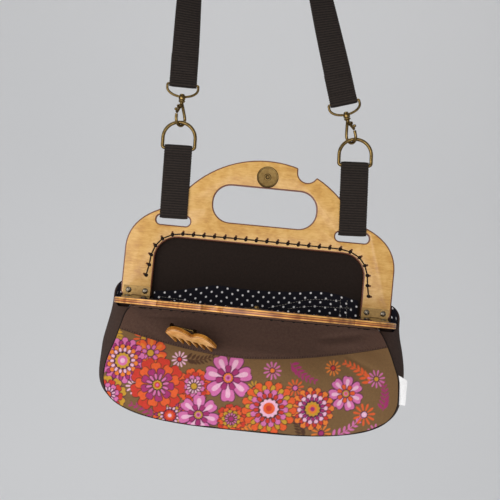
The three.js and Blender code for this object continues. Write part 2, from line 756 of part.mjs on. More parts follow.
function strapLine() {
  const runSteps = 16
  const bightSteps = 14
  const start = foldLength * 0.6
  const rows = []
  const straight = (side, towards) => {
    const touch = new THREE.Vector2(bight.x - towards.x * bightRadius, bight.z - towards.y * bightRadius)
    const length = hypot(touch.x - side.eyeBar.x, touch.y - side.eyeBar.z)
    return steps(runSteps).map((t) => {
      const along = mix(start, length, t)
      const turn = mix(side.eyeTurn, PI / 2, along / length)
      return { point: side.eyeBar.clone().addScaledVector(side.up, along), turn, up: side.up }
    })
  }
  rows.push(...straight(leftSide, bight.a))
  const from = atan2(-bight.a.y, -bight.a.x) + 2 * PI
  const to = atan2(-bight.b.y, -bight.b.x)
  for (let i = 1; i < bightSteps; i++) {
    const angle = mix(from, to, i / bightSteps)
    const point = new THREE.Vector3(bight.x + bightRadius * cos(angle), plateMiddle, bight.z + bightRadius * sin(angle))
    rows.push({ point, turn: PI / 2, up: new THREE.Vector3(sin(angle), 0, -cos(angle)) })
  }
  const right = straight(rightSide, bight.b).reverse()
  rows.push(...right.map(({ point, turn, up }) => ({ point, turn: PI - turn, up: up.clone().negate() })))
  return rows
}

function shoulderStrap() {
  const corners = []
  const rows = strapLine()
  for (const { point, turn, up } of rows) {
    const flat = new THREE.Vector3(up.z, 0, -up.x)
    const width = flat.multiplyScalar(cos(turn)).add(new THREE.Vector3(0, sin(turn), 0)).normalize()
    const depth = new THREE.Vector3().crossVectors(up, width)
    for (const [w, d] of [[-1, -1], [1, -1], [1, 1], [-1, 1]]) {
      const corner = point.clone().addScaledVector(width, (w * webWidth) / 2)
      corners.push(corner.addScaledVector(depth, (d * webThickness) / 2))
    }
  }
  const triangles = []
  const last = (rows.length - 1) * 4
  for (let i = 0; i < rows.length - 1; i++) {
    for (let k = 0; k < 4; k++) {
      const a = i * 4
      const next = (k + 1) % 4
      triangles.push([a + k, a + next, a + 4 + next], [a + k, a + 4 + next, a + 4 + k])
    }
  }
  triangles.push([0, 2, 1], [0, 3, 2], [last, last + 1, last + 2], [last, last + 2, last + 3])
  const folds = [leftSide, rightSide].map((side) => {
    const fold = strapFold().rotateZ(side.eyeTurn).rotateY(-side.strapLean)
    return fold.translate(side.eyeBar.x, side.eyeBar.y, side.eyeBar.z)
  })
  return join(closedBody(corners, triangles), ...folds)
}

// Brooch: two lobes above, a comb of slanting teeth below
function brooch() {
  const half = broochHalfWidth
  const lobe = (x0, z0, cx, x1, z1) => new THREE.QuadraticBezierCurve(
    new THREE.Vector2(x0 * half, z0 * broochRise),
    new THREE.Vector2(cx * half, 1.75 * broochRise),
    new THREE.Vector2(x1 * half, z1 * broochRise),
  ).getPoints(8)
  const outline = [...lobe(-1, 0, -0.8, -0.06, 0.42), ...lobe(0, 0.36, 0.4, 1, -0.5)]
  const pitch = (1.66 * half) / toothCount
  const slant = broochDrop * 0.5
  for (let i = toothCount - 1; i >= 0; i--) {
    const x = -0.86 * half + i * pitch
    const base = -broochDrop * 0.3
    outline.push(
      new THREE.Vector2(x + pitch * 0.54, base),
      new THREE.Vector2(x + pitch * 0.4 + slant, -broochDrop),
      new THREE.Vector2(x + pitch * 0.18 + slant, -broochDrop),
      new THREE.Vector2(x, base),
    )
  }
  return slab(outline, [], -broochThickness, 0)
}

function broochPin() {
  const reach = 4.5
  const barZ = broochRise * 0.3
  const from = -broochHalfWidth * 0.84
  const to = broochHalfWidth * 0.06
  const block = (x) => box(x - 1.6, x + 1.6, gap, gap + reach, barZ - 1.2, barZ + 1.2)
  const at = (x) => new THREE.Vector3(x, gap + reach * 0.7, barZ)
  return join(block(from), block(to), rod(0.7, at(from), at(to), 8))
}

function sideTag() {
  const low = -tagDown - tagLength
  const edge = (z) => gussetPoint(0.97, 1, z, 1).x + gap + tagThickness / 2
  const outer = edge(-tagDown) + tagWidth
  const inner = steps(4).map((t) => {
    const z = mix(low, -tagDown, t)
    return new THREE.Vector2(min(edge(z), outer - tagThickness), z)
  })
  const outline = [...inner, new THREE.Vector2(outer, -tagDown - tagWidth / 2), new THREE.Vector2(outer, low)]
  const y = seamFront(-tagDown - tagLength / 2) + seamInset
  return slab(outline, [], y, y + tagThickness)
}

// The assembled bag
function piece(parent, name, geometry, material) {
  const mesh = new THREE.Mesh(geometry, materials[material])
  mesh.name = name
  parent.add(mesh)
  return mesh
}

function addPlateAssembly(parent, name, leftX, knuckles, snap) {
  piece(parent, `${name}_plate`, plate(), 'plywood')
  const snapMesh = piece(parent, `${name}_snap`, snap, 'brass')
  snapMesh.rotation.x = PI / 2
  snapMesh.position.set(0, innerFace - gap, snapZ)
  for (const [hingeName, x] of [['left', leftX], ['right', -leftX]]) {
    const leaf = piece(parent, `${hingeName}_hinge_${name}_leaf`, hingeLeaf(knuckles), 'brass')
    leaf.position.x = x
    for (const [screwName, offset] of [['a', -0.5], ['b', 0.5]]) {
      const screw = piece(parent, `${hingeName}_hinge_${name}_screw_${screwName}`, screwHead(), 'brass')
      screw.rotation.x = PI / 2
      screw.position.set(x + offset * screwPitch, leafPlay - gap, (leafLength + barrelRadius) / 2)
    }
  }
}

function addPlates(bag) {
  const third = leafWidth / 3
  const half = leafWidth / 2
  const outer = [[-half, -half + third - gap], [half - third + gap, half]]
  const middle = [[-half + third, half - third]]
  addPlateAssembly(bag, 'back', -hingeX, outer, snapDisc())
  // The front plate is the same part as the back one, turned to face it and swung open about the hinge axis.
  const swung = new THREE.Group()
  swung.rotation.x = openingAngle
  bag.add(swung)
  const facing = new THREE.Group()
  facing.rotation.z = PI
  swung.add(facing)
  addPlateAssembly(facing, 'front', hingeX, middle, snapStud())
  for (const [name, x] of [['left', -hingeX], ['right', hingeX]]) {
    const at = (offset) => new THREE.Vector3(x + offset, 0, 0)
    piece(bag, `${name}_hinge_pin`, rod(pinRadius, at(-half), at(half), 10), 'brass')
  }
}

function addCloth(bag) {
  piece(bag, 'yoke', yoke(), 'canvas')
  piece(bag, 'print_panel', printedPanel(), 'print')
  piece(bag, 'back_panel', backPanel(), 'canvas')
  piece(bag, 'gusset', gusset(), 'canvas')
  piece(bag, 'left_lining', sideLining(-1), 'lining')
  piece(bag, 'right_lining', sideLining(1), 'lining')
  piece(bag, 'pocket', pocket(), 'lining')
  piece(bag, 'side_tag', sideTag(), 'tape')
}

// The brooch stands tipped forward, moved back until its teeth or its pin meet the cloth.
function addBrooch(bag) {
  const rest = new THREE.Group()
  rest.rotation.set(broochTip, broochSlope, broochTurn, 'ZXY')
  rest.position.set(broochX, 0, -broochDown)
  bag.add(rest)
  const meshes = [piece(rest, 'brooch', brooch(), 'plywood'), piece(rest, 'brooch_pin', broochPin(), 'brass')]
  rest.updateMatrix()
  const panels = [yoke(), printedPanel()].map((geometry) => new THREE.Mesh(geometry))
  const backwards = new THREE.Vector3(0, 1, 0)
  let ahead = Infinity
  for (const { geometry } of meshes) {
    const corners = geometry.attributes.position
    for (let i = 0; i < corners.count; i++) {
      const corner = new THREE.Vector3().fromBufferAttribute(corners, i).applyMatrix4(rest.matrix)
      const start = corner.clone().setY(-2 * frontDepth)
      const hit = new THREE.Raycaster(start, backwards).intersectObjects(panels)[0]
      if (hit) ahead = min(ahead, hit.point.y - corner.y)
    }
  }
  rest.position.y = ahead - broochStand
}

function addStrapSide(bag, side) {
  const loop = piece(bag, `${side.name}_loop`, webLoop(side), 'webbing')
  loop.position.copy(side.slot)
  loop.rotation.y = -side.loopLean
  const ring = piece(bag, `${side.name}_ring`, wire(ringOutline(), ringWire, 8, true), 'brass')
  ring.position.copy(side.bar)
  ring.rotation.y = -side.loopLean
  const hang = new THREE.Group()
  hang.position.copy(side.hang)
  hang.rotation.y = -side.strapLean
  bag.add(hang)
  const eye = piece(hang, `${side.name}_eye`, strapEye(), 'brass')
  eye.position.z = hookLength
  eye.rotation.z = side.eyeTurn
  const hook = new THREE.Group()
  hook.rotation.z = side.hookTurn
  hang.add(hook)
  piece(hook, `${side.name}_hook`, hookBody(), 'brass')
  piece(hook, `${side.name}_gate`, gate(), 'brass')
  piece(hook, `${side.name}_gate_pin`, gatePinRod(), 'brass')
}

function build() {
  const group = new THREE.Group()
  const bag = new THREE.Group()
  bag.position.set(-bight.x, -plateMiddle, -(bight.z + bightRadius - webThickness / 2))
  group.add(bag)
  addPlates(bag)
  addCloth(bag)
  addBrooch(bag)
  addStrapSide(bag, leftSide)
  addStrapSide(bag, rightSide)
  piece(bag, 'shoulder_strap', shoulderStrap(), 'webbing')
  return group
}

const group = build()
export default group
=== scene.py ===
"""Looks of a mini frame handbag: birch plywood plates, brown canvas, a printed front and a webbing strap.

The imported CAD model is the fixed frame. Lengths are in millimetres in the bag's own frame, where z = 0 and
y = 0 are the hinge axis, and `to_world` turns them into metres in the frame of the CAD model.
"""

import json
import logging
import math
import random
from contextlib import contextmanager
from dataclasses import dataclass, field
from enum import Enum
from typing import Callable, Iterable, Iterator, Sequence

import bpy
import numpy as np
from mathutils import Matrix, Vector


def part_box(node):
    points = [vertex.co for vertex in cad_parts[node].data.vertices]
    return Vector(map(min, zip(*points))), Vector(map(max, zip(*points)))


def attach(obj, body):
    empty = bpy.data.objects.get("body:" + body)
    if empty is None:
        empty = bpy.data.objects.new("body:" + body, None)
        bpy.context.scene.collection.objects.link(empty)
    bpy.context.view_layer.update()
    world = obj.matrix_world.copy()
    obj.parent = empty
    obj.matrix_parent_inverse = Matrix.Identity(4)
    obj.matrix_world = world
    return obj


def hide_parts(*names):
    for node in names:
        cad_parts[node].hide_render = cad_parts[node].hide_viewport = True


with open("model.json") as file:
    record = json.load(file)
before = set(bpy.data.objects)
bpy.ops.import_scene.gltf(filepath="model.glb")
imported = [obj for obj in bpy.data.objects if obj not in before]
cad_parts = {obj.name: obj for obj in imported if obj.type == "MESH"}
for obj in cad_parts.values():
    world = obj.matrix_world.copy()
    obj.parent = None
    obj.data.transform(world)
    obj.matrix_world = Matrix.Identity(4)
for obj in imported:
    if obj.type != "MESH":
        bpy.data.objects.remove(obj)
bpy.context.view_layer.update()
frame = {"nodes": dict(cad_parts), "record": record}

logging.basicConfig(level=logging.INFO, format="%(message)s")
log = logging.getLogger("handbag")

Points = np.ndarray
MM = 0.001
BAG = "bag"


class Side(Enum):
    """The two ends of the bag, with the sign of their x."""

    LEFT = -1
    RIGHT = 1

    @property
    def label(self) -> str:
        """The word that the CAD nodes' names start with."""
        return self.name.lower()


def middle_of(node: str) -> Vector:
    """The middle of a CAD node's box, in millimetres.

    Args:
        node: The node's name.

    Returns:
        The middle of the box.
    """
    low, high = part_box(node)
    return (low + high) / 2 / MM


HINGE_AXIS = (middle_of("left_hinge_pin") + middle_of("right_hinge_pin")) / 2


def to_world(points: Points) -> Points:
    """Turns bag millimetres into metres in the CAD frame.

    Args:
        points: An array of points.

    Returns:
        The same points in the CAD frame.
    """
    return (np.asarray(points, float) + np.array(HINGE_AXIS)) * MM


# Numbers and curves


def mix(a: float, b: float, share: float) -> float:
    """The value at a share of the way from a to b."""
    return a + (b - a) * share


def smooth(start: float, end: float, value: Points) -> Points:
    """An even S-shaped rise from 0 at start to 1 at end."""
    t = np.clip((value - start) / (end - start), 0, 1)
    return t * t * (3 - 2 * t)


def curve_through(values: Sequence[float], share: Points) -> Points:
    """Reads evenly spaced values along a smooth curve.

    Args:
        values: The values that the curve passes through.
        share: Places on the curve, from 0 at the first value to 1 at the last.

    Returns:
        The curve's value at each place.
    """
    rows = np.array(values, float)
    last = len(rows) - 1
    place = np.clip(share, 0, 1) * last
    i = np.minimum(np.floor(place).astype(int), last - 1)
    w = place - i
    before, here = rows[np.maximum(i - 1, 0)], rows[i]
    after, beyond = rows[i + 1], rows[np.minimum(i + 2, last)]
    lead_in, lead_out = (after - before) / 2, (beyond - here) / 2
    cubic = 2 * here - 2 * after + lead_in + lead_out
    square = -3 * here + 3 * after - 2 * lead_in - lead_out
    return cubic * w**3 + square * w**2 + lead_in * w + here


# Materials


def linear(code: str) -> tuple[float, float, float, float]:
    """Turns an sRGB hex colour into the linear colour that a shader takes.

    Args:
        code: Six hex digits.

    Returns:
        Red, green, blue and an alpha of 1.
    """
    channels = [int(code[i : i + 2], 16) / 255 for i in (0, 2, 4)]
    low, slope, offset, power = 0.04045, 12.92, 0.055, 2.4
    red, green, blue = (c / slope if c <= low else ((c + offset) / (1 + offset)) ** power for c in channels)
    return red, green, blue, 1.0


Link = bpy.types.NodeSocket


def add_node(
    material: bpy.types.Material, kind: str, inputs: dict[int | str, object] | None = None, **settings: object
) -> bpy.types.Node:
    """Adds a node to a material.

    Args:
        material: The material whose tree gets the node.
        kind: The node's type name, without the ShaderNode in front.
        inputs: What goes into each of the node's inputs: another node's output or a plain value.
        settings: The node's properties.

    Returns:
        The new node.
    """
    tree = material.node_tree
    node = tree.nodes.new("ShaderNode" + kind)
    for name, value in settings.items():
        setattr(node, name, value)
    for key, value in (inputs or {}).items():
        if isinstance(value, Link):
            tree.links.new(value, node.inputs[key])
        else:
            node.inputs[key].default_value = value
    return node


def attribute(material: bpy.types.Material, name: str) -> bpy.types.Node:
    """Adds a node that reads one of the piece's own attributes."""
    return add_node(material, "Attribute", attribute_name=name)


def noise(
    material: bpy.types.Material, place: Link, scale: float, detail: float = 2.0, **inputs: float,
) -> Link:
    """Adds soft noise at a place.

    Args:
        material: The material whose tree gets the noise.
        place: Where the noise is read.
        scale: How fine it is.
        detail: How many finer layers it has.
        inputs: Its other inputs' values, by name.

    Returns:
        The noise, from 0 to 1.
    """
    values = {"Vector": place, "Scale": scale, "Detail": detail, **inputs}
    return add_node(material, "TexNoise", values).outputs["Fac"]


def calculated(material: bpy.types.Material, operation: str, *values: Link | float) -> Link:
    """Adds a calculation with one to three numbers and gives its result."""
    return add_node(material, "Math", dict(enumerate(values)), operation=operation).outputs[0]


def placed(material: bpy.types.Material, operation: str, *values: object) -> Link:
    """Adds a calculation with one to three vectors and gives its result."""
    return add_node(material, "VectorMath", dict(enumerate(values)), operation=operation).outputs[0]


def mixed(
    material: bpy.types.Material, share: Link | float, first: object, second: object, blend: str = "MIX",
) -> Link:
    """Mixes two colours.

    Args:
        material: The material whose tree gets the mix.
        share: How much of the second colour goes in.
        first: The first colour, or the output that gives it.
        second: The second colour, or the output that gives it.
        blend: How the second colour is laid over the first.

    Returns:
        The mixed colour.
    """
    values = {0: share, 6: first, 7: second}
    return add_node(material, "Mix", values, data_type="RGBA", blend_type=blend).outputs[2]


def ramp(material: bpy.types.Material, source: Link, stops: Sequence[tuple[float, str]]) -> Link:
    """Turns a value into a colour by a row of stops.

    Args:
        material: The material whose tree gets the ramp.
        source: The value.
        stops: Pairs of place and hex colour.

    Returns:
        The ramp's colour output.
    """
    node = add_node(material, "ValToRGB", {0: source})
    elements = node.color_ramp.elements
    while len(elements) < len(stops):
        elements.new(0.5)
    for element, (place, code) in zip(elements, stops):
        element.position = place
        element.color = linear(code)
    return node.outputs["Color"]


@dataclass(frozen=True)
class Finish:
    """What every finish has: its name and how glossy it is."""

    name: str
    roughness: float
    metallic: float = 0.0
    coat: float = 0.0
    specular: float = 0.5

    def start(self) -> tuple[bpy.types.Material, bpy.types.Node]:
        """Makes the material with its shader.

        Returns:
            The material and its Principled shader.
        """
        material = bpy.data.materials.new(self.name)
        material.use_nodes = True
        material.node_tree.nodes.clear()
        output = add_node(material, "OutputMaterial")
        shader = add_node(material, "BsdfPrincipled", {
            "Roughness": self.roughness,
            "Metallic": self.metallic,
            "Coat Weight": self.coat,
            "Specular IOR Level": self.specular,
        })
        material.node_tree.links.new(shader.outputs[0], output.inputs[0])
        return material, shader

    def paint(
        self, material: bpy.types.Material, shader: bpy.types.Node, colour: Link, height: Link,
        strength: float, depth: float,
    ) -> bpy.types.Material:
        """Links a colour and a height to the shader.

        Args:
            material: The material.
            shader: Its shader.
            colour: The base colour.
            height: The height of the surface, from 0 to 1.
            strength: How strongly the height shows.
            depth: The height's real depth in metres.

        Returns:
            The finished material.
        """
        links = material.node_tree.links
        bump = add_node(material, "Bump", {"Height": height, "Strength": strength, "Distance": depth})
        links.new(colour, shader.inputs["Base Color"])
        links.new(bump.outputs[0], shader.inputs["Normal"])
        return material


@dataclass(frozen=True)
class LaserCutBirch(Finish):
    """Birch plywood, laser cut and varnished: honey faces with soft figure, and scorched plies at cuts."""

    pale: str = "d2a65e"
    honey: str = "c39347"
    streak: str = "ac7736"
    scorch: str = "66331a"
    core: str = "a45a2a"
    skin: str = "eeb25c"
    soot: str = "a88a78"
    grain_mm: float = 1.3
    grain_stretch: tuple[float, float, float] = (0.22, 0.3, 1.0)
    figure_scale: float = 95.0
    soot_scale: float = 260.0
    varnish_depth: float = 0.0002

    def make(self) -> bpy.types.Material:
        """Makes the material, for pieces that mark_sheet has marked."""
        material, shader = self.start()
        place = attribute(material, "flat").outputs["Vector"]
        stretch = add_node(material, "Mapping", {0: place, "Scale": self.grain_stretch}).outputs[0]
        grain = noise(material, stretch, 1 / (self.grain_mm * MM), 6.0, Roughness=0.6, Distortion=0.4)
        figure = noise(material, place, self.figure_scale, 5.0, Distortion=0.5)
        blend = add_node(material, "Mix", {0: 0.55, 2: grain, 3: figure}, data_type="FLOAT").outputs[0]
        face = ramp(material, blend, [(0.3, self.streak), (0.46, self.honey), (0.6, self.pale)])
        plies = ramp(material, attribute(material, "layer").outputs["Fac"], [
            (0.0, self.skin), (0.2, self.skin), (0.27, self.scorch), (0.36, self.core), (0.46, self.core),
            (0.52, self.skin), (0.58, self.core), (0.68, self.scorch), (0.76, self.skin), (1.0, self.skin),
        ])
        uneven = noise(material, stretch, self.soot_scale, 4.0)
        sooty = ramp(material, uneven, [(0.35, self.soot), (0.6, "ffffff")])
        cut = mixed(material, 0.8, plies, sooty, "MULTIPLY")
        bare = mixed(material, attribute(material, "edge").outputs["Fac"], face, cut)
        colour = mixed(material, attribute(material, "rim").outputs["Fac"], bare, linear(self.scorch))
        return self.paint(material, shader, colour, grain, strength=0.2, depth=self.varnish_depth)


@dataclass(frozen=True)
class AntiqueBrass(Finish):
    """Brass plate, chemically darkened and rubbed: warm highlights, brown in the hollows."""

    rubbed: str = "806a3f"
    dark: str = "594526"
    cloud_scale: float = 420.0

    def make(self) -> bpy.types.Material:
        """Makes the brass material."""
        material, shader = self.start()
        place = add_node(material, "TexCoord").outputs["Object"]
        cloud = noise(material, place, self.cloud_scale, 3.0)
        colour = ramp(material, cloud, [(0.3, self.dark), (0.66, self.rubbed)])
        return self.paint(material, shader, colour, cloud, strength=0.05, depth=0.0001)


def cloth_place(material: bpy.types.Material) -> Link:
    """Adds the place on the flat cloth, in metres."""
    return add_node(material, "UVMap", uv_map="UVMap").outputs[0]


@dataclass(frozen=True)
class Weave(Finish):
    """Plain woven cloth: two sets of crossing threads with slubs, matt and slightly furry."""

    dark: str = "2f221d"
    light: str = "52403a"
    thread_mm: float = 1.0
    depth_mm: float = 0.12
    slub_scale: float = 420.0
    crossing_height: float = 0.35

    def threads(self, material: bpy.types.Material) -> Link:
        """Adds the thread pattern, which is drawn coarser than real canvas so that it shows.

        Args:
            material: The material whose tree gets the pattern.

        Returns:
            The height of the threads.
        """
        place = cloth_place(material)
        slub = noise(material, place, self.slub_scale, 4.0, Roughness=0.7)
        turns = math.tau / (self.thread_mm * MM)
        scale = placed(material, "MULTIPLY", place, (turns, turns, turns))
        split = add_node(material, "SeparateXYZ", {0: scale})
        warp = calculated(material, "SINE", split.outputs[0])
        weft = calculated(material, "SINE", split.outputs[1])
        crossing = calculated(material, "MULTIPLY", warp, weft)
        return calculated(material, "MULTIPLY_ADD", crossing, self.crossing_height, slub)

    def make(self) -> bpy.types.Material:
        """Makes the plain cloth."""
        material, shader = self.start()
        height = self.threads(material)
        colour = ramp(material, height, [(0.12, self.dark), (0.85, self.light)])
        return self.paint(material, shader, colour, height, strength=0.6, depth=self.depth_mm * MM)


@dataclass(frozen=True)
class DottedCotton(Weave):
    """Fine navy cotton with small white dots in staggered rows."""

    ground: str = "0e0d16"
    dot: str = "dcdadb"
    dot_radius_mm: float = 0.88
    soft_edge_mm: float = 0.25
    first_row_mm: float = 1.7
    pitch_mm: float = 9.5
    row_mm: float = 4.1

    def make(self) -> bpy.types.Material:
        """Makes the dotted lining cloth."""
        material, shader = self.start()
        height = self.threads(material)
        place = cloth_place(material)
        half_pitch, row, start = self.pitch_mm * MM / 2, self.row_mm * MM, -self.first_row_mm * MM
        distances = []
        for shift in ((0.0, start, 0.0), (half_pitch, start + row, 0.0)):
            moved = placed(material, "ADD", place, shift)
            wrapped = placed(material, "WRAP", moved, (half_pitch, row, 1.0), (-half_pitch, -row, -1.0))
            flat = placed(material, "MULTIPLY", wrapped, (1.0, 1.0, 0.0))
            reach = add_node(material, "VectorMath", {0: flat}, operation="LENGTH")
            distances.append(reach.outputs["Value"])
        nearest = calculated(material, "MINIMUM", *distances)
        edge, radius = self.soft_edge_mm * MM, self.dot_radius_mm * MM
        limits = {0: nearest, 1: radius + edge, 2: radius - edge, 3: 0.0, 4: 1.0}
        inside = add_node(material, "MapRange", limits).outputs[0]
        colour = mixed(material, inside, linear(self.ground), linear(self.dot))
        return self.paint(material, shader, colour, height, strength=0.4, depth=self.depth_mm * MM)


@dataclass(frozen=True)
class PrintedCotton(Weave):
    """Heavy cotton printed with flowers: the ink's colour comes from the piece's own print attribute."""

    def make(self) -> bpy.types.Material:
        """Makes the printed cloth."""
        material, shader = self.start()
        height = self.threads(material)
        tone = ramp(material, height, [(0.0, "c4c4c4"), (0.9, "ffffff")])
        colour = mixed(material, 0.8, attribute(material, "print").outputs["Color"], tone, "MULTIPLY")
        return self.paint(material, shader, colour, height, strength=0.5, depth=self.depth_mm * MM)


@dataclass(frozen=True)
class RibbedWebbing(Weave):
    """Cotton webbing: fat ribs across it, each made of small crossing threads; the ribs' crests are painted
    lighter and their troughs darker, as painted highlight and shade.
    """

    rib_mm: float = 2.3
    rib_height: float = 0.3

    def make(self) -> bpy.types.Material:
        """Makes the webbing material."""
        material, shader = self.start()
        height = self.threads(material)
        split = add_node(material, "SeparateXYZ", {0: cloth_place(material)})
        phase = calculated(material, "MULTIPLY", split.outputs[1], math.tau / (self.rib_mm * MM))
        rib = calculated(material, "COSINE", phase)
        tone = calculated(material, "MULTIPLY_ADD", rib, self.rib_height, height)
        # The rib's crest and trough also set the colour: painted highlight and shade on the ribs.
        colour = ramp(material, tone, [(0.1, self.dark), (0.95, self.light)])
        return self.paint(material, shader, colour, tone, strength=0.7, depth=self.depth_mm * MM)


BIRCH = LaserCutBirch("birch_plywood", roughness=0.45, coat=0.1).make()
HORN = LaserCutBirch(
    "varnished_comb_wood", roughness=0.25, coat=0.6,
    pale="e2b074", honey="cc9654", streak="a66c36", core="c67f30", skin="eaa848", scorch="6a3a1c",
).make()
BRASS, SNAP_BRASS, PATINA_AND_SHADE_BRASS, LEAF_BRASS, STEEL = (
    AntiqueBrass(name, roughness, metallic, rubbed=rubbed, dark=dark).make()
    for name, roughness, metallic, rubbed, dark in (
        ("antique_brass", 0.26, 1.0, "806a3f", "594526"),
        ("snap_brass", 0.42, 1.0, "7d663e", "68512e"),
        # darkest brass for the snap's grooves and outer rim: partly patina, partly painted shade
        ("brass_in_hollows", 0.5, 1.0, "3a2d1b", "241a10"),
        ("hinge_brass", 0.5, 0.5, "a98850", "8d6f3e"),
        ("nickel_screw", 0.35, 1.0, "8a8172", "544b3f"),
    )
)
CANVAS, SHADED_SIDE_CANVAS, SHADED_CANVAS, THREAD, PALE_THREAD, TAPE, SCORCHED = (
    Weave(name, roughness, specular=specular, dark=dark, light=light, thread_mm=thread).make()
    for name, roughness, specular, dark, light, thread in (
        ("brown_canvas", 0.95, 0.3, "3f2c25", "5a4338", 1.0),
        # the same brown canvas painted darker for the gusset: painted shade on the sides
        ("canvas_side", 0.95, 0.3, "2e211c", "43322b", 1.0),
        # the brown canvas painted darker: painted shade on the back's inside, seen through the arch, and in
        # the front seam
        ("canvas_inside", 0.95, 0.2, "17110e", "281e19", 1.0),
        ("sewing_thread", 0.8, 0.2, "0d0907", "21160f", 0.5),
        ("pale_thread", 0.8, 0.5, "77716a", "a9a49c", 0.5),
        ("white_tape", 0.9, 0.5, "d6d5d4", "f4f4f5", 0.8),
        ("scorched_wood", 0.9, 0.5, "4a2110", "73401f", 0.5),
    )
)
PRINT = PrintedCotton("printed_cotton", roughness=0.9, specular=0.3, thread_mm=0.9).make()
DOTTED = DottedCotton("dotted_cotton", roughness=0.9, specular=0.2, thread_mm=0.7, depth_mm=0.08).make()
WEBBING = RibbedWebbing(
    "webbing", roughness=0.85, specular=0.25, dark="0b0807", light="302722", thread_mm=1.15, depth_mm=0.2,
).make()


# Making pieces


def choose(*pieces: bpy.types.Object) -> None:
    """Selects these pieces alone and makes the first one active."""
    bpy.ops.object.select_all(action="DESELECT")
    for piece in pieces:
        piece.select_set(True)
    bpy.context.view_layer.objects.active = pieces[0]


@contextmanager
def editing(piece: bpy.types.Object) -> Iterator[None]:
    """Opens one piece alone in edit mode with all of it selected, and closes it again afterwards."""
    choose(piece)
    bpy.ops.object.mode_set(mode="EDIT")
    bpy.ops.mesh.select_all(action="SELECT")
    yield
    bpy.ops.object.mode_set(mode="OBJECT")


def close_seams(piece: bpy.types.Object, distance: float) -> None:
    """Merges a piece's doubled points, in its own unit, and turns its faces outwards."""
    with editing(piece):
        bpy.ops.mesh.remove_doubles(threshold=distance)
        bpy.ops.mesh.normals_make_consistent(inside=False)


def added(add: Callable[..., object], **settings: object) -> bpy.types.Object:
    """Adds one of Blender's basic meshes and gives it.

    Args:
        add: Blender's operator that adds it.
        settings: The operator's own settings.

    Returns:
        The new object.
    """
    bpy.ops.object.select_all(action="DESELECT")
    add(**settings)
    return bpy.context.active_object


def apply_all(piece: bpy.types.Object) -> None:
    """Applies every modifier of a piece in order."""
    choose(piece)
    for modifier in list(piece.modifiers):
        bpy.ops.object.modifier_apply(modifier=modifier.name)


def new_object(name: str, data: bpy.types.ID) -> bpy.types.Object:
    """Makes an object of its data and puts it into the scene."""
    thing = bpy.data.objects.new(name, data)
    bpy.context.scene.collection.objects.link(thing)
    return thing


def new_grid(name: str, columns: int, rows: int) -> tuple[bpy.types.Object, Points, Points]:
    """Makes a flat grid whose points then get their places.

    Args:
        name: The piece's name.
        columns: How many faces it has across.
        rows: How many faces it has down.

    Returns:
        The grid, and the column and the row of each of its points.
    """
    piece = added(bpy.ops.mesh.primitive_grid_add, x_subdivisions=columns, y_subdivisions=rows, size=1)
    piece.name = name
    piece.data.name = name
    grid = coordinates(piece)
    column = np.rint((grid[:, 0] + 0.5) * columns).astype(int)
    row = np.rint((0.5 - grid[:, 1]) * rows).astype(int)
    return piece, column, row


def coordinates(piece: bpy.types.Object) -> Points:
    """A piece's vertices as an array of points."""
    flat = np.zeros(len(piece.data.vertices) * 3)
    piece.data.vertices.foreach_get("co", flat)
    return flat.reshape(-1, 3)


def face_values(piece: bpy.types.Object, what: str) -> Points:
    """Each face's normal or center, as an array of points."""
    flat = np.zeros(len(piece.data.polygons) * 3)
    piece.data.polygons.foreach_get(what, flat)
    return flat.reshape(-1, 3)


def place_vertices(piece: bpy.types.Object, points: Points) -> None:
    """Writes a piece's vertices from an array of points."""
    piece.data.vertices.foreach_set("co", np.asarray(points, float).ravel())
    piece.data.update()


def write_uv(piece: bpy.types.Object, flat: Points) -> None:
    """Writes a piece's UV map from one flat point for each vertex."""
    if "UVMap" not in piece.data.uv_layers:
        piece.data.uv_layers.new(name="UVMap")
    loops = np.zeros(len(piece.data.loops), int)
    piece.data.loops.foreach_get("vertex_index", loops)
    piece.data.uv_layers["UVMap"].data.foreach_set("uv", flat[loops].ravel())


def write_attribute(piece: bpy.types.Object, name: str, kind: str, domain: str, values: Points) -> None:
    """Gives a piece an attribute of its own, for its material.

    Args:
        piece: The piece.
        name: The attribute's name.
        kind: Its Blender type.
        domain: POINT or FACE.
        values: A row for each point or face.
    """
    word = {"FLOAT": "value", "FLOAT_VECTOR": "vector", "FLOAT_COLOR": "color"}[kind]
    piece.data.attributes.new(name, kind, domain).data.foreach_set(word, np.asarray(values, float).ravel())


def lengths_along(line: Points) -> Points:
    """How far along a line each of its points is."""
    return np.concatenate([[0.0], np.cumsum(np.linalg.norm(np.diff(line, axis=0), axis=1))])


def read_line(line: Points, marks: Points) -> Points:
    """The points at given distances along a line."""
    along = lengths_along(line)
    return np.stack([np.interp(marks, along, line[:, k]) for k in range(line.shape[1])], axis=1)


def dress(
    piece: bpy.types.Object, material: bpy.types.Material, replaces: Iterable[str] = (),
    body: str = BAG, angle: float = 35.0,
) -> bpy.types.Object:
    """Gives a finished piece its material, shading and body, and hides the CAD nodes that it replaces.

    Args:
        piece: The piece, in the CAD frame.
        material: Its finish.
        replaces: The CAD nodes that it stands for.
        body: The CAD body that it rides on.
        angle: Edges sharper than this many degrees stay sharp.

    Returns:
        The piece.
    """
    piece.data.materials.clear()
    piece.data.materials.append(material)
    choose(piece)
    bpy.ops.object.transform_apply(location=True, rotation=True, scale=True)
    bpy.ops.object.shade_smooth_by_angle(angle=math.radians(angle))
    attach(piece, body)
    if replaces:
        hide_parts(*replaces)
    log.info("%s: %d faces", piece.name, len(piece.data.polygons))
    return piece


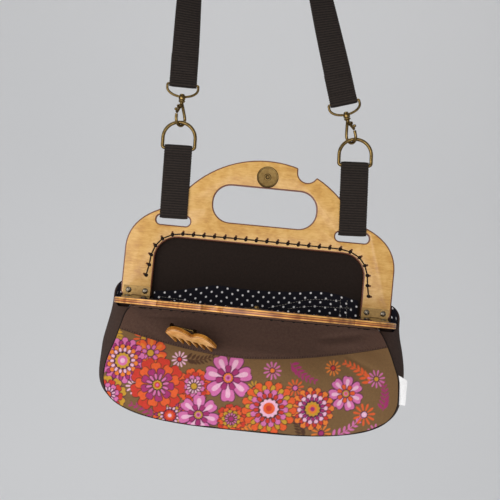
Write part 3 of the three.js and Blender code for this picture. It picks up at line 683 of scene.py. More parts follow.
def copy_of_node(node: str, name: str) -> bpy.types.Object:
    """Copies a CAD node's mesh into a new piece with its doubles merged and its flat faces whole.

    Args:
        node: The CAD node.
        name: The new piece's name.

    Returns:
        The new piece.
    """
    piece = new_object(name, frame["nodes"][node].data.copy())
    normals = piece.data.attributes.get("custom_normal")
    if normals:
        piece.data.attributes.remove(normals)
    with editing(piece):
        bpy.ops.mesh.remove_doubles(threshold=0.02 * MM)
        bpy.ops.mesh.dissolve_limited(angle_limit=math.radians(0.5))
    return piece


def second_material(piece: bpy.types.Object, material: bpy.types.Material, faces: Points) -> None:
    """Gives some of a piece's faces a second material."""
    piece.data.materials.append(material)
    piece.data.polygons.foreach_set("material_index", faces.astype(int))


def joined(name: str, parts: Sequence[bpy.types.Object]) -> bpy.types.Object:
    """Joins several objects into one piece."""
    choose(*parts)
    bpy.ops.object.join()
    parts[0].name = name
    parts[0].data.name = name
    return parts[0]


def cloth_piece(
    name: str, at: Callable[[Points, Points], Points], columns: int, rows: int, thickness: float,
    outward: tuple[float, float, float], across: Callable[[Points], Points] | None = None, stand: float = 0.0,
) -> bpy.types.Object:
    """Makes a wall of cloth from the surface of its outer face.

    Args:
        name: The piece's name.
        at: Gives the outer face's point in bag millimetres for each column and row, both from 0 to 1.
        columns: How many faces the wall has across.
        rows: How many faces it has down.
        thickness: The cloth's thickness in millimetres.
        outward: The way that the middle of the outer face looks.
        across: Spreads the columns, if they aren't even.
        stand: How far inside that surface the wall's own outer face lies, in millimetres.

    Returns:
        The wall, with a UV map in metres of cloth.
    """
    piece, s, t = new_grid(name, columns, rows)
    across_share = s / columns
    if across:
        across_share = across(across_share)
    points = at(across_share, t / rows)
    table = np.zeros((rows + 1, columns + 1, 3))
    table[t, s] = points
    if stand:
        normals = np.cross(np.gradient(table, axis=0), np.gradient(table, axis=1))
        normals /= np.linalg.norm(normals, axis=2, keepdims=True)
        facing = np.sign(normals[rows // 2, columns // 2] @ np.array(outward, float))
        table -= normals * facing * stand
        points = table[t, s]
    lengths_down = np.linalg.norm(np.diff(table, axis=0), axis=2)
    down = np.vstack([np.zeros(columns + 1), np.cumsum(lengths_down, axis=0)])
    along = lengths_along(table[rows // 2])
    place_vertices(piece, to_world(points))
    write_uv(piece, np.stack([along[s], down[t, s]], axis=1) * MM)
    mid = piece.data.polygons[(rows // 2) * columns + columns // 2]
    if mid.normal.dot(Vector(outward)) < 0:
        with editing(piece):
            bpy.ops.mesh.flip_normals()
    wall = piece.modifiers.new("thickness", "SOLIDIFY")
    wall.thickness = thickness * MM
    wall.offset = -1.0
    apply_all(piece)
    return piece


def run_of_stitches(
    name: str, places: Points, ways: Points, length: float, width: float, material: bpy.types.Material,
    slot: str, out: Points | None = None,
) -> bpy.types.Object:
    """Copies one modelled stitch along a seam.

    Args:
        name: The piece's name.
        places: The stitches' middles in bag millimetres.
        ways: The way that each stitch runs.
        length: A stitch's length in millimetres.
        width: The thread's thickness in millimetres.
        material: The thread's finish.
        slot: The record's material slot.
        out: The way that each stitch stands out of the cloth.

    Returns:
        All the stitches as one piece.
    """
    one = added(bpy.ops.mesh.primitive_uv_sphere_add, segments=6, ring_count=5, radius=0.5)
    shape = coordinates(one)
    faces = [list(f.vertices) for f in one.data.polygons]
    bpy.data.objects.remove(one)
    outs = out if out is not None else np.tile([0.0, -1.0, 0.0], (len(places), 1))
    flatness = 0.8
    size = np.array([width, width * flatness, length])
    vertices, all_faces = [], []
    for place, way, up in zip(np.asarray(places, float), np.asarray(ways, float), np.asarray(outs, float)):
        way = way / np.linalg.norm(way)
        side = np.cross(up, way)
        side = side / np.linalg.norm(side)
        up = np.cross(way, side)
        start = len(vertices) * len(shape)
        vertices.append(place + shape * size @ np.array([side, up, way]))
        all_faces.extend([[v + start for v in f] for f in faces])
    mesh = bpy.data.meshes.new(name)
    mesh.from_pydata(to_world(np.vstack(vertices)).tolist(), [], all_faces)
    mesh.uv_layers.new(name="UVMap")
    piece = new_object(name, mesh)
    with editing(piece):
        bpy.ops.mesh.normals_make_consistent(inside=False)
    return dress(piece, material, angle=60)


def spaced(line: Points, pitch: float, start: float = 0.0) -> tuple[Points, Points]:
    """Places evenly spaced along a line.

    Args:
        line: The line's points.
        pitch: The distance between places, in millimetres.
        start: Where the first place is.

    Returns:
        The places, and the way that the line runs at each.
    """
    marks, near = np.arange(start, lengths_along(line)[-1], pitch), 0.5
    return read_line(line, marks), read_line(line, marks + near) - read_line(line, marks - near)


def shaped_band(
    name: str, points: Points, widths: Points, width: float, thickness: float, rib: float, closed: bool,
) -> bpy.types.Object:
    """Sweeps ribbed webbing along a line.

    Args:
        name: The piece's name.
        points: The line in bag millimetres, evenly spaced.
        widths: The way across the webbing at each point.
        width: The webbing's width in millimetres.
        thickness: Its thickness in millimetres.
        rib: The distance between its ribs in millimetres.
        closed: Whether the line ends where it starts.

    Returns:
        The webbing, with a UV map in metres.
    """
    runs = np.roll(points, -1, 0) - np.roll(points, 1, 0)
    if not closed:
        runs[0], runs[-1] = points[1] - points[0], points[-1] - points[-2]
    depths = np.cross(runs, widths)
    depths /= np.linalg.norm(depths, axis=1, keepdims=True)
    steps = np.linalg.norm(np.diff(points, axis=0, append=points[:1]), axis=1)
    along = np.concatenate([[0.0], np.cumsum(steps[:-1])])
    if closed:
        points, widths, depths = (np.vstack([a, a[:1]]) for a in (points, widths, depths))
        along = np.append(along, along[-1] + steps[-1])
        along *= rib / (along[-1] / round(along[-1] / rib))
    face = np.linspace(-1, 1, 9)
    edge = np.array([0.5] + [1.0] * 7 + [0.5])
    w_section = np.concatenate([face, face[::-1], face[:1]])
    d_section = np.concatenate([edge, -edge[::-1], edge[:1]])
    piece, s, t = new_grid(name, len(w_section) - 1, len(points) - 1)
    phase = np.cos(math.tau * along[t] / rib)
    rib_depth, edge_depth, off_centre = 0.14, 0.014, 0.1
    out = d_section[s] * thickness / 2 * (1 - rib_depth + rib_depth * phase)
    beside = w_section[s] * width / 2 * (1 - edge_depth + edge_depth * phase)
    shaped = points[t] + widths[t] * beside[:, None] + depths[t] * out[:, None]
    place_vertices(piece, to_world(shaped))
    write_uv(piece, np.stack([w_section[s] * width / 2 + off_centre, along[t]], axis=1) * MM)
    with editing(piece):
        bpy.ops.mesh.remove_doubles(threshold=0.005 * MM)
        if not closed:
            bpy.ops.mesh.select_all(action="SELECT")
            bpy.ops.mesh.fill_holes(sides=0)
        bpy.ops.mesh.select_all(action="SELECT")
        bpy.ops.mesh.normals_make_consistent(inside=False)
    return piece


def evenly(line: Points, step: float, closed: bool = False) -> Points:
    """Points at even steps along a line."""
    path = np.vstack([line, line[:1]]) if closed else line
    whole = lengths_along(path)[-1]
    marks = np.linspace(0, whole, int(round(whole / step)) + 1)
    return read_line(path, marks[:-1] if closed else marks)


def rounded(line: Points, times: int) -> Points:
    """Rounds the corners of a closed line of even points."""
    for _ in range(times):
        line = (np.roll(line, 1, 0) + 2 * line + np.roll(line, -1, 0)) / 4
    return line


def arc_points(
    x: float, z: float, radius: float, start: float, end: float, steps: int,
) -> list[tuple[float, float]]:
    """Points on an arc in the x-z plane, with its angles in degrees."""
    angles = [math.radians(mix(start, end, i / steps)) for i in range(steps + 1)]
    return [(x + radius * math.cos(a), z + radius * math.sin(a)) for a in angles]


def wire(
    name: str, line: Sequence[Sequence[float]], radius: float, closed: bool, sides: int = 5,
) -> bpy.types.Object:
    """Makes a round wire from a curve with a bevel, turned into a mesh.

    Args:
        name: The piece's name.
        line: Its centreline in millimetres.
        radius: The wire's radius in millimetres.
        closed: Whether the wire is a closed ring.
        sides: The bevel's resolution.

    Returns:
        The wire, in millimetres.
    """
    curve = bpy.data.curves.new(name, "CURVE")
    curve.dimensions = "3D"
    curve.bevel_depth = radius
    curve.bevel_resolution = sides
    curve.use_fill_caps = True
    spline = curve.splines.new("POLY")
    spline.points.add(len(line) - 1)
    spline.points.foreach_set("co", [c for point in line for c in (*point, 1.0)])
    spline.use_cyclic_u = closed
    piece = new_object(name, curve)
    choose(piece)
    bpy.ops.object.convert(target="MESH")
    close_seams(piece, 0.001)
    return piece


def turned(name: str, profile: Sequence[tuple[float, float]], segments: int = 32) -> bpy.types.Object:
    """Spins a profile about the z axis.

    Args:
        name: The piece's name.
        profile: Pairs of radius and height in millimetres, from axis to axis or back to the start.
        segments: How many faces go round.

    Returns:
        The turned body, in millimetres.
    """
    mesh = bpy.data.meshes.new(name)
    edges = [(i, i + 1) for i in range(len(profile) - 1)]
    mesh.from_pydata([(r, 0.0, z) for r, z in profile], edges, [])
    piece = new_object(name, mesh)
    with editing(piece):
        bpy.ops.mesh.spin(steps=segments, angle=math.tau, center=(0, 0, 0), axis=(0, 0, 1))
    close_seams(piece, 0.001)
    return piece


def set_in(piece: bpy.types.Object, matrix: Matrix) -> bpy.types.Object:
    """Moves a piece from its own millimetres to its place in the CAD frame."""
    turn = np.array(matrix)
    place_vertices(piece, to_world(coordinates(piece) @ turn[:3, :3].T + turn[:3, 3]))
    return piece


def mark_sheet(piece: bpy.types.Object, own: Points, through: Points, scorch_and_light_slope: float = 0.6) -> None:
    """Marks a wooden piece's own sheet, so that its grain and its cut edges follow it.

    Args:
        piece: The wooden piece.
        own: Its vertices with x along the grain, z across it and y through the sheet, in metres.
        through: The way through the sheet in the CAD frame.
        scorch_and_light_slope: How steep a face of the rounding may be and still be scorched, from 1 for flat to 0.
    """
    write_attribute(piece, "flat", "FLOAT_VECTOR", "POINT", own)
    depth = own[:, 1]
    share = (depth - depth.min()) / (depth.max() - depth.min())
    write_attribute(piece, "layer", "FLOAT", "POINT", share)
    slope = np.abs(face_values(piece, "normal") @ through)
    steep = slope < 0.98
    write_attribute(piece, "edge", "FLOAT", "FACE", steep)
    write_attribute(piece, "rim", "FLOAT", "FACE", smooth(scorch_and_light_slope, scorch_and_light_slope + 0.15, slope) * steep)


def eased(
    piece: bpy.types.Object, width: float, segments: int = 2, angle: float = 40.0, clamp: bool = True,
) -> bpy.types.Object:
    """Rounds a piece's sharp edges.

    Args:
        piece: The piece, in metres.
        width: The rounding's width in millimetres.
        segments: How many faces it has across.
        angle: Edges sharper than this many degrees are rounded.
        clamp: Whether short edges narrow the rounding everywhere.

    Returns:
        The piece.
    """
    ease = piece.modifiers.new("eased_edges", "BEVEL")
    ease.width = width * MM
    ease.segments = segments
    ease.use_clamp_overlap = clamp
    ease.loop_slide = clamp
    ease.limit_method = "ANGLE"
    ease.angle_limit = math.radians(angle)
    apply_all(piece)
    return piece


# The cloth body, on the same surfaces as the CAD walls


@dataclass
class BodyForm:
    """The bag body's pattern: the surfaces of its cloth in bag millimetres."""

    cloth: float = 1.2
    gap: float = 0.3
    height: float = 108.2
    half_width: float = 132.0
    front_depth: float = 42.0
    back_depth: float = 18.0
    sway_by: float = 1.7
    seam_shift: float = 3.4
    side_fullness: float = 3.2
    face: float = 8.4
    arch_cloth: float = 104.0
    arch_top: float = 66.0
    arch_corner: float = 22.0
    corner_height: float = 46.5
    crease: float = 1.2
    mouth_rise: float = 15.0
    yoke_side: float = 26.5
    yoke_middle: float = 45.0
    seam_lap: float = 0.45
    roundness: float = 2.4
    forward_from: float = 0.22
    forward_to: float = 1.12
    panel_corner: float = 3
    arch_corner_shape: float = 4
    slump_rise: tuple[float, float] = (0.1, 0.45)
    slump_fall: tuple[float, float] = (0.64, 0.9)
    pull_rise: tuple[float, float] = (0.05, 0.3)
    pull_fall: tuple[float, float] = (0.42, 0.62)
    full_fall: tuple[float, float] = (0.5, 0.8)
    lesser_side: float = 0.8
    levels: dict[str, list[float]] = field(default_factory=lambda: {
        "front_half": [0.790, 0.866, 0.905, 0.943, 0.981, 1.0, 1.0, 1.0, 1.0],
        "back_half": [0.828, 0.890, 0.935, 0.965, 0.987, 1.0, 1.0, 1.0, 1.0],
        "puff": [0.165, 0.106, 0.080, 0.060, 0.034, 0.023, 0.020, 0.018, 0.015],
        "front_seam": [0.34, 0.44, 0.54, 0.62, 0.67, 0.69, 0.69, 0.67, 0.64],
        "belly": [0.30, 0.34, 0.52, 0.78, 0.94, 1.00, 0.95, 0.83, 0.67],
        "back_seam": [0.0, 0.15, 0.32, 0.46, 0.57, 0.65, 0.70, 0.70, 0.66],
        "back_belly": [0.0, 0.18, 0.43, 0.68, 0.88, 1.0, 1.0, 0.88, 0.68],
    })
    folds: tuple[tuple[float, float, float], ...] = (
        (-0.70, 0.16, 0.050), (-0.12, 0.20, -0.045), (0.30, 0.18, 0.040), (0.68, 0.16, -0.045),
    )

    @property
    def corner_top(self) -> float:
        """How far down the round bottom corners start."""
        return self.height - self.corner_height

    def level(self, column: str, z: Points) -> Points:
        """Reads a column of the levels at a height."""
        return curve_through(self.levels[column], -z / self.height)

    def sway(self, z: Points) -> Points:
        """How far the hanging body swings to the right at a height."""
        return self.sway_by * np.maximum(0, -z / self.height) ** 1.5

    def seam_front(self, z: Points) -> Points:
        """The depth of the front seam."""
        return -self.front_depth * self.level("front_seam", z)

    def seam_back(self, z: Points) -> Points:
        """The depth of the back seam."""
        return self.face + self.back_depth * self.level("back_seam", z)

    def corner(self, across: Points, fullness: float) -> Points:
        """The share of a round corner's height that is left at a place across."""
        return np.maximum(0.0, 1 - np.abs(across) ** fullness) ** (1 / fullness)

    def panel_bottom(self, across: Points) -> Points:
        """The bottom edge of the front and back panels."""
        return -self.corner_top - self.corner_height * self.corner(across, self.panel_corner)

    def yoke_edge(self, across: Points) -> Points:
        """The seam between the yoke and the printed panel."""
        return -(self.yoke_middle + (self.yoke_side - self.yoke_middle) * np.abs(across + 0.1) ** 1.6)

    def slump(self, z: Points) -> Points:
        """How much the left side sags at a height."""
        share = -z / self.height
        return smooth(*self.slump_rise, share) * (1 - smooth(*self.slump_fall, share))

    def pull(self, across: Points, z: Points) -> Points:
        """How far the hang pulls the front to the right: lower down at the left seam than at the right."""
        share = -z / self.height
        right = self.lesser_side * smooth(*self.pull_rise, share) * (1 - smooth(*self.pull_fall, share))
        return self.seam_shift * np.abs(across) * np.where(across < 0, self.slump(z), right)

    def fullness(self, across: Points, z: Points) -> Points:
        """How much fuller the gusset is at each side."""
        right = 1 - smooth(*self.full_fall, -z / self.height)
        left = self.lesser_side * self.slump(z)
        return self.side_fullness * np.abs(across) * np.where(across < 0, left, right)

    def front(self, across: Points, z: Points) -> Points:
        """The front face's points."""
        bulge = 1 - np.abs(across) ** self.roundness
        seam, belly = self.seam_front(z), -self.front_depth * self.level("belly", z)
        y = seam + (belly - seam) * bulge
        fade = smooth(self.face + self.crease, self.height * 0.5, -z) * smooth(0, 0.3, 1 - np.abs(across))
        for place, width, depth in self.folds:
            y = y - self.front_depth * depth * fade * np.exp(-(((across - place) / width) ** 2))
        half = self.half_width * self.level("front_half", z)
        return np.stack([across * half + self.pull(across, z) + self.sway(z), y, z], axis=-1)

    def back(self, across: Points, z: Points) -> Points:
        """The back face's points."""
        below = self.half_width * self.level("back_half", np.minimum(z, 0))
        width = np.where(z > 0, below + (self.arch_cloth - below) * smooth(0, self.mouth_rise, z), below)
        bulge = 1 - np.abs(across) ** self.roundness
        seam, belly = self.seam_back(z), self.face + self.back_depth * self.level("back_belly", z)
        return np.stack([across * width + self.sway(z), seam + (belly - seam) * bulge, z], axis=-1)

    def arch_edge(self, across: Points) -> Points:
        """How far from the hinge axis the cloth's edge lies on a plate."""
        return self.arch_top + self.arch_corner * (self.corner(across, self.arch_corner_shape) - 1)

    def mouth_edge(self, turn: Points) -> Points:
        """The gusset's top edge, from the back seam at 0 to the front seam at 1."""
        low = -self.face - self.crease - self.gap
        return self.mouth_rise + (low - self.mouth_rise) * smooth(0.15, 0.8, turn)

    def gusset(self, turn: Points, side: float | Points, z: Points, across: Points | float) -> Points:
        """The gusset's points at a height."""
        inset = self.cloth + self.seam_lap
        fade = smooth(0, self.face, -z)
        out = side * across
        puff = np.sin(np.pi * turn) * (self.half_width * self.level("puff", z) + self.fullness(out, z))
        puff = puff + 1.5 * self.gap * (1 - fade)
        back_half = self.half_width * self.level("back_half", z)
        front_half = self.half_width * self.level("front_half", z)
        half = back_half + (front_half - back_half) * turn + puff
        limits = (self.forward_from, self.forward_to)
        forward = smooth(*limits, turn) / smooth(*limits, np.array(1.0))
        start = self.seam_back(z) - np.where(z > 0, 0, inset * fade)
        share = forward + (turn - forward) * smooth(0, self.corner_top, -z)
        y = start + (self.seam_front(z) + inset - start) * share
        return np.stack([half * out + self.pull(out, z) * turn + self.sway(z), y, z], axis=-1)


BODY = BodyForm()


class Studio:
    """The plain pale room, the soft lights and the camera at the photograph's angle."""

    eye = (-10.0, -1129.8, -4.3)
    aim = (-9.7, 1.5, 52.3)
    roll = math.radians(5.5)
    lens = 89.5
    sensor = 36.0
    wall_y = 3.2
    floor_z = -1.25
    span = 30.0
    bend_radius = 1.2
    floor_rows, bend_rows = 8, 32

    def camera(self) -> None:
        """Stands the camera where the photograph was taken from."""
        data = bpy.data.cameras.new("camera")
        data.lens = self.lens
        data.sensor_width = self.sensor
        data.clip_end = 100.0
        camera = new_object("camera", data)
        eye, aim = Vector(to_world(self.eye)), Vector(to_world(self.aim))
        look = (aim - eye).to_track_quat("-Z", "Y").to_matrix().to_4x4()
        camera.matrix_world = Matrix.Translation(eye) @ look @ Matrix.Rotation(self.roll, 4, "Z")
        bpy.context.scene.camera = camera

    def room(self) -> None:
        """Makes the floor and the wall as one curved sweep, far behind the bag."""
        rows = self.floor_rows * 2 + self.bend_rows
        sweep, column, row = new_grid("sweep", 2, rows)
        order = rows - row
        bend = np.clip((order - self.floor_rows) / self.bend_rows, 0, 1) * math.pi / 2
        radius, step = self.bend_radius, self.span / self.floor_rows
        y = self.wall_y - radius + radius * np.sin(bend) - np.maximum(0, self.floor_rows - order) * step
        above = np.maximum(0, order - self.floor_rows - self.bend_rows) * step
        z = self.floor_z + radius - radius * np.cos(bend) + above
        place_vertices(sweep, np.stack([(column / 2 - 0.5) * self.span, y, z], axis=1))
        material, shader = Finish("pale_paper", roughness=0.95).start()
        cloud = noise(material, add_node(material, "TexCoord").outputs["Object"], 0.35)
        colour = ramp(material, cloud, [(0.3, "dfe0e2"), (0.7, "e7e7e8")])
        material.node_tree.links.new(colour, shader.inputs["Base Color"])
        sweep.data.materials.append(material)
        choose(sweep)
        bpy.ops.object.shade_smooth()

    def light(
        self, name: str, place: tuple[float, float, float], size: float, power: float, tint: str,
    ) -> None:
        """Adds a soft square light that looks at the bag.

        Args:
            name: The light's name.
            place: Where it stands, in metres.
            size: The length of its side, in metres.
            power: Its power in watts.
            tint: Its hex colour.
        """
        data = bpy.data.lights.new(name, "AREA")
        data.shape = "SQUARE"
        data.size = size
        data.energy = power
        data.color = linear(tint)[:3]
        lamp = new_object(name, data)
        lamp.location = place
        target = Vector(to_world(self.aim))
        lamp.rotation_euler = (target - lamp.location).to_track_quat("-Z", "Y").to_euler()

    def build(self) -> None:
        """Makes the camera, the sweep and the lights."""
        self.camera()
        self.room()
        world = bpy.data.worlds.new("soft_room")
        world.use_nodes = True
        glow = world.node_tree.nodes["Background"].inputs
        glow["Color"].default_value = linear("f6f7f8")
        glow["Strength"].default_value = 0.42
        bpy.context.scene.world = world
        bpy.context.scene.view_settings.view_transform = "Standard"
        self.light("window", (-1.3, -1.8, -0.5), 1.5, 25.0, "fffcf6")
        self.light("front_fill", (-0.05, -2.0, -1.05), 1.6, 30.0, "fbfbff")
        self.light("wall_wash", (-0.4, 1.3, 2.2), 2.4, 47.0, "ffffff")
        log.info("studio: camera, sweep and lights")


class ClothBody:
    """The sewn body: yoke, printed panel, back, gusset, linings and pocket."""

    form = BODY
    columns, rows = 120, 60
    print_columns, print_rows = 420, 112
    gusset_columns, gusset_rows = 24, 160
    lining = 0.8
    lining_stand = 1.95
    lining_start, lining_end = 0.22, 0.90
    topstitch, topstitch_pitch, topstitch_width = 2.0, 2.6, 0.42
    overcast, overcast_width, overcast_slant = 2.3, 0.45, 0.12
    yoke_under, yoke_bend = 0.4, 0.5
    back_above = 0.35
    gusset_side = 7 / 30
    pocket_half = 93.0
    pocket_top = 15.0
    pocket_depth = 66.0
    pocket_edge = (1.06, 1.3, 1.4, 1.24, 1.15, 1.1, 1.1, 1.16, 0.9, 0.62, 0.48)[::-1]
    tucks = (
        (66, -22, 112, -14, 2.6, 1.5), (70, -28, 108, -21, 3.0, -0.9), (88, -34, 114, -46, 3.0, 1.0),
        (-108, -16, -66, -14, 1.8, 0.7), (-110, -24, -84, -40, 3.0, 0.6), (30, -70, 74, -60, 8.0, 0.5),
    )
    pocket_lines = (
        ((-88, 2.4), (-66, 1.2), (-45, -1.4)),
        ((12, 1.5), (28, 6.5), (46, 12.2), (60, 13.8), (76, 14.2)),
        ((30, 2.2), (42, 5.2), (54, 7.0), (72, 7.6), (88, 8.4)),
        ((77, 15.5), (77.6, -2)),
        ((83, 15), (83.8, -2)),
    )

    @staticmethod
    def spread(share: Points) -> Points:
        """Sets the columns closer together towards the sides, where the outlines turn."""
        return 0.4 * (2 * share - 1) + 0.6 * np.sin((share - 0.5) * np.pi)

    @staticmethod
    def even_spread(share: Points) -> Points:
        """Sets the columns nearly even, so that the print is fine all over."""
        return 0.75 * (2 * share - 1) + 0.25 * np.sin((share - 0.5) * np.pi)

    def yoke_surface(self, across: Points, t: Points) -> Points:
        """The yoke from its sewn edge under the plate, round the crease and down to the printed panel."""
        form = self.form
        start = -form.face - form.crease
        crease = form.front(across, np.full_like(across, start))
        u = np.clip(t / self.yoke_under, 0, 1)
        y = -form.arch_edge(across) + (crease[:, 1] - form.crease + form.arch_edge(across)) * u
        x = across * form.arch_cloth + (crease[:, 0] - across * form.arch_cloth) * smooth(0.6, 1, u)
        flat = np.stack([x, y, np.full_like(x, -form.face)], axis=-1)
        angle = np.clip((t - self.yoke_under) / (self.yoke_bend - self.yoke_under), 0, 1) * np.pi / 2
        bend_y = crease[:, 1] - form.crease + form.crease * np.sin(angle)
        bend = np.stack([crease[:, 0], bend_y, start + form.crease * np.cos(angle)], axis=-1)
        down = np.clip((t - self.yoke_bend) / (1 - self.yoke_bend), 0, 1)
        low = form.front(across, start + (form.yoke_edge(across) - start) * down)
        low = low + self.ripples(across, low[:, 2], 0.22)
        share = t[:, None]
        return np.where(share < self.yoke_under, flat, np.where(share < self.yoke_bend, bend, low))

    def ripples(self, across: Points, z: Points, size: float) -> Points:
        """Fine slack in the cloth, as points to add.

        Args:
            across: Places across, from -1 to 1.
            z: Their heights.
            size: The ripples' depth in millimetres.

        Returns:
            The shift of each point, all in depth.
        """
        slow = np.sin(across * 9.0 + z * 0.06) * np.sin(across * 4.0 - z * 0.11 + 1.3)
        fast = np.sin(across * 23.0 + z * 0.17 + 0.6) * np.sin(z * 0.21 + across * 6.0)
        fade = smooth(0, 0.12, 1 - np.abs(across))
        depth = size * fade * (slow + 0.5 * fast)
        x = across * self.form.half_width
        for x0, z0, x1, z1, width, deep in self.tucks:
            run = np.array([x1 - x0, z1 - z0])
            length = np.linalg.norm(run)
            along = ((x - x0) * run[0] + (z - z0) * run[1]) / length
            beside = ((z - z0) * run[0] - (x - x0) * run[1]) / length
            inside = smooth(-0.25, 0.3, along / length) * (1 - smooth(0.7, 1.25, along / length))
            depth = depth + deep * inside * np.exp(-((beside / width) ** 2))
        return np.stack([np.zeros_like(z), depth, np.zeros_like(z)], axis=-1)

    def print_surface(self, across: Points, t: Points) -> Points:
        """The printed panel from the yoke's seam to the bottom seam."""
        form = self.form
        top = form.yoke_edge(across) - form.gap
        z = top + (form.panel_bottom(across) - top) * t
        return form.front(across, z) + self.ripples(across, z, 0.3)

    def back_surface(self, across: Points, t: Points) -> Points:
        """The back panel from its edge on the plate to the bottom seam."""
        form, above = self.form, self.back_above
        up = form.arch_edge(across) * (1 - t / above)
        down = form.panel_bottom(across) * (t - above) / (1 - above)
        return form.back(across, np.where(t < above, up, down))

    def gusset_surface(self, turn: Points, t: Points) -> Points:
        """The gusset from one mouth corner, under the bottom, to the other."""
        form, side_share = self.form, self.gusset_side
        side = np.where(t < 0.5, -1.0, 1.0)
        drop = np.minimum(np.minimum(t, 1 - t) / side_share, 1)
        mouth = form.mouth_edge(turn)
        flank = form.gusset(turn, side, mouth + (-form.corner_top - mouth) * drop, 1.0)
        across = np.sin((np.clip((t - side_share) / (1 - 2 * side_share), 0, 1) - 0.5) * np.pi)
        puff = form.half_width * form.levels["puff"][-1] * np.sin(np.pi * turn)
        puff = puff * form.corner(across, form.panel_corner)
        low = form.panel_bottom(across) - puff
        bottom = form.gusset(turn, 1.0, np.full_like(low, -form.corner_top), across)
        depth = form.gusset(turn, 1.0, np.maximum(low, -form.height), across)
        bottom[:, 1], bottom[:, 2] = depth[:, 1], low
        return np.where(((t < side_share) | (t > 1 - side_share))[:, None], flank, bottom)

    def build(self) -> None:
        """Makes all the cloth."""
        cloth, size = self.form.cloth, (self.columns, self.rows)
        yoke = cloth_piece("yoke_cloth", self.yoke_surface, *size, cloth, (0, -0.5, -0.5), self.spread)
        dress(yoke, CANVAS, ["yoke"], angle=60)
        printed = cloth_piece(
            "printed_front", self.print_surface, self.print_columns, self.print_rows, cloth, (0, -1, 0),
            self.even_spread,
        )
        self.ink(printed)
        dress(printed, PRINT, ["print_panel"], angle=60)
        back = cloth_piece("back_cloth", self.back_surface, *size, cloth, (0, 1, 0), self.spread)
        dress(back, CANVAS, ["back_panel"], angle=60)
        # The back's inner faces take the darker canvas: painted shade inside the mouth.
        inside = np.arange(len(back.data.polygons)) >= self.columns * self.rows
        second_material(back, SHADED_CANVAS, inside)
        gusset = cloth_piece(
            "gusset_cloth", self.gusset_surface, self.gusset_columns, self.gusset_rows, cloth, (0, 0, -1),
        )
        # The gusset takes a darker copy of the canvas: painted shade on the sides.
        dress(gusset, SHADED_SIDE_CANVAS, ["gusset"], angle=60)
        self.linings()
        self.pocket()
        self.seams()

    def linings(self) -> None:
        """Makes the dotted lining inside the mouth's two corners."""
        form = self.form
        for side in Side:
            def at(across: Points, t: Points) -> Points:
                """The gusset's own surface from this mouth corner down to the round corner's start."""
                turn = mix(self.lining_start, self.lining_end, across)
                z = form.mouth_edge(turn) - form.gap
                return form.gusset(turn, side.value, z + (-form.corner_top - z) * t, 1.0)

            name = f"{side.label}_corner_lining"
            lining = cloth_piece(name, at, 24, 24, self.lining, (side.value, 0, 0), stand=self.lining_stand)
            dress(lining, DOTTED, [f"{side.label}_lining"], angle=60)

    def pocket_surface(self, across: Points, t: Points) -> Points:
        """The pocket from its wavy top edge to its bottom, on the back panel."""
        x = (across * 2 - 1) * self.pocket_half
        top = self.pocket_top * curve_through(self.pocket_edge, across)
        z = top + (-self.pocket_depth - top) * t
        half = self.form.half_width * self.form.level("back_half", np.minimum(z, 0))
        points = self.form.back(x / half, z)
        points[:, 0] = x + self.form.sway(z)
        return points

    def pocket(self) -> None:
        """Makes the dotted pocket and its pale topstitching."""
        stand = self.lining_stand
        cloth = cloth_piece("dotted_pocket", self.pocket_surface, 60, 30, self.lining, (0, 1, 0), stand=stand)
        dress(cloth, DOTTED, ["pocket"], angle=60)
        proud = stand + self.lining + 0.08
        places, ways = [], []
        for row in self.pocket_lines:
            dense = evenly(np.array(row, float), 1.0)
            half = self.form.half_width * self.form.level("back_half", np.minimum(dense[:, 1], 0))
            points = self.form.back(dense[:, 0] / half, dense[:, 1])
            points[:, 0] = dense[:, 0]
            points[:, 1] -= proud
            at, way = spaced(points, self.topstitch_pitch, 0.5)
            places.append(at)
            ways.append(way)
        size = (self.topstitch, self.topstitch_width)
        run_of_stitches(
            "pocket_topstitch", np.vstack(places), np.vstack(ways), *size, PALE_THREAD, "dotted_lining",
        )

    def seam_line(self) -> Points:
        """The line where the front meets the gusset, from mouth to mouth under the bottom."""
        form = self.form
        z = np.linspace(-form.face - form.crease - 1.0, -form.corner_top, 40)
        left = form.front(np.full_like(z, -1.0), z)
        across = np.sin((np.linspace(0, 1, 140)[1:-1] - 0.5) * np.pi)
        low = form.front(across, form.panel_bottom(across))
        right = form.front(np.full_like(z, 1.0), z)[::-1]
        return np.vstack([left, low, right])

    def seams(self) -> None:
        """Makes the rolled seam round the front, and the overcast seam between yoke and print."""
        behind, radius = 0.9, 0.95
        line = self.seam_line() + np.array([0.0, behind, 0.0])
        roll = wire("front_seam_roll", line.tolist(), radius, False, 3)
        set_in(roll, Matrix.Identity(4))
        roll.data.uv_layers.new(name="UVMap")
        # The roll takes the darker canvas: a painted shade line along the seam.
        dress(roll, SHADED_CANVAS, angle=60)
        form = self.form
        end, above, proud = 0.985, 0.7, 0.12
        across = np.linspace(-end, end, 400)
        edge = form.front(across, form.yoke_edge(across) + above)
        edge[:, 1] -= proud
        at, _ = spaced(edge, self.overcast, 1.0)
        upright = np.tile([self.overcast_slant, 0.0, 1.0], (len(at), 1))
        run_of_stitches("yoke_overcast", at, upright, self.overcast, self.overcast_width, THREAD, "canvas")

    def ink(self, piece: bpy.types.Object) -> None:
        """Colours the printed panel's points."""
        points = coordinates(piece)
        colours = FlowerPrint().colours(points[:, 0] / MM - HINGE_AXIS[0], points[:, 2] / MM - HINGE_AXIS[2])
        write_attribute(piece, "print", "FLOAT_COLOR", "POINT", colours)


@dataclass(frozen=True)
class Ring:
    """One ring of petals: how many, their reach and root as shares of the flower's radius, and their look."""

    petals: int
    reach: float
    root: float
    width: float
    ink: int
    notch: float = 0.0
    half_step: bool = False
    outlined: bool = True


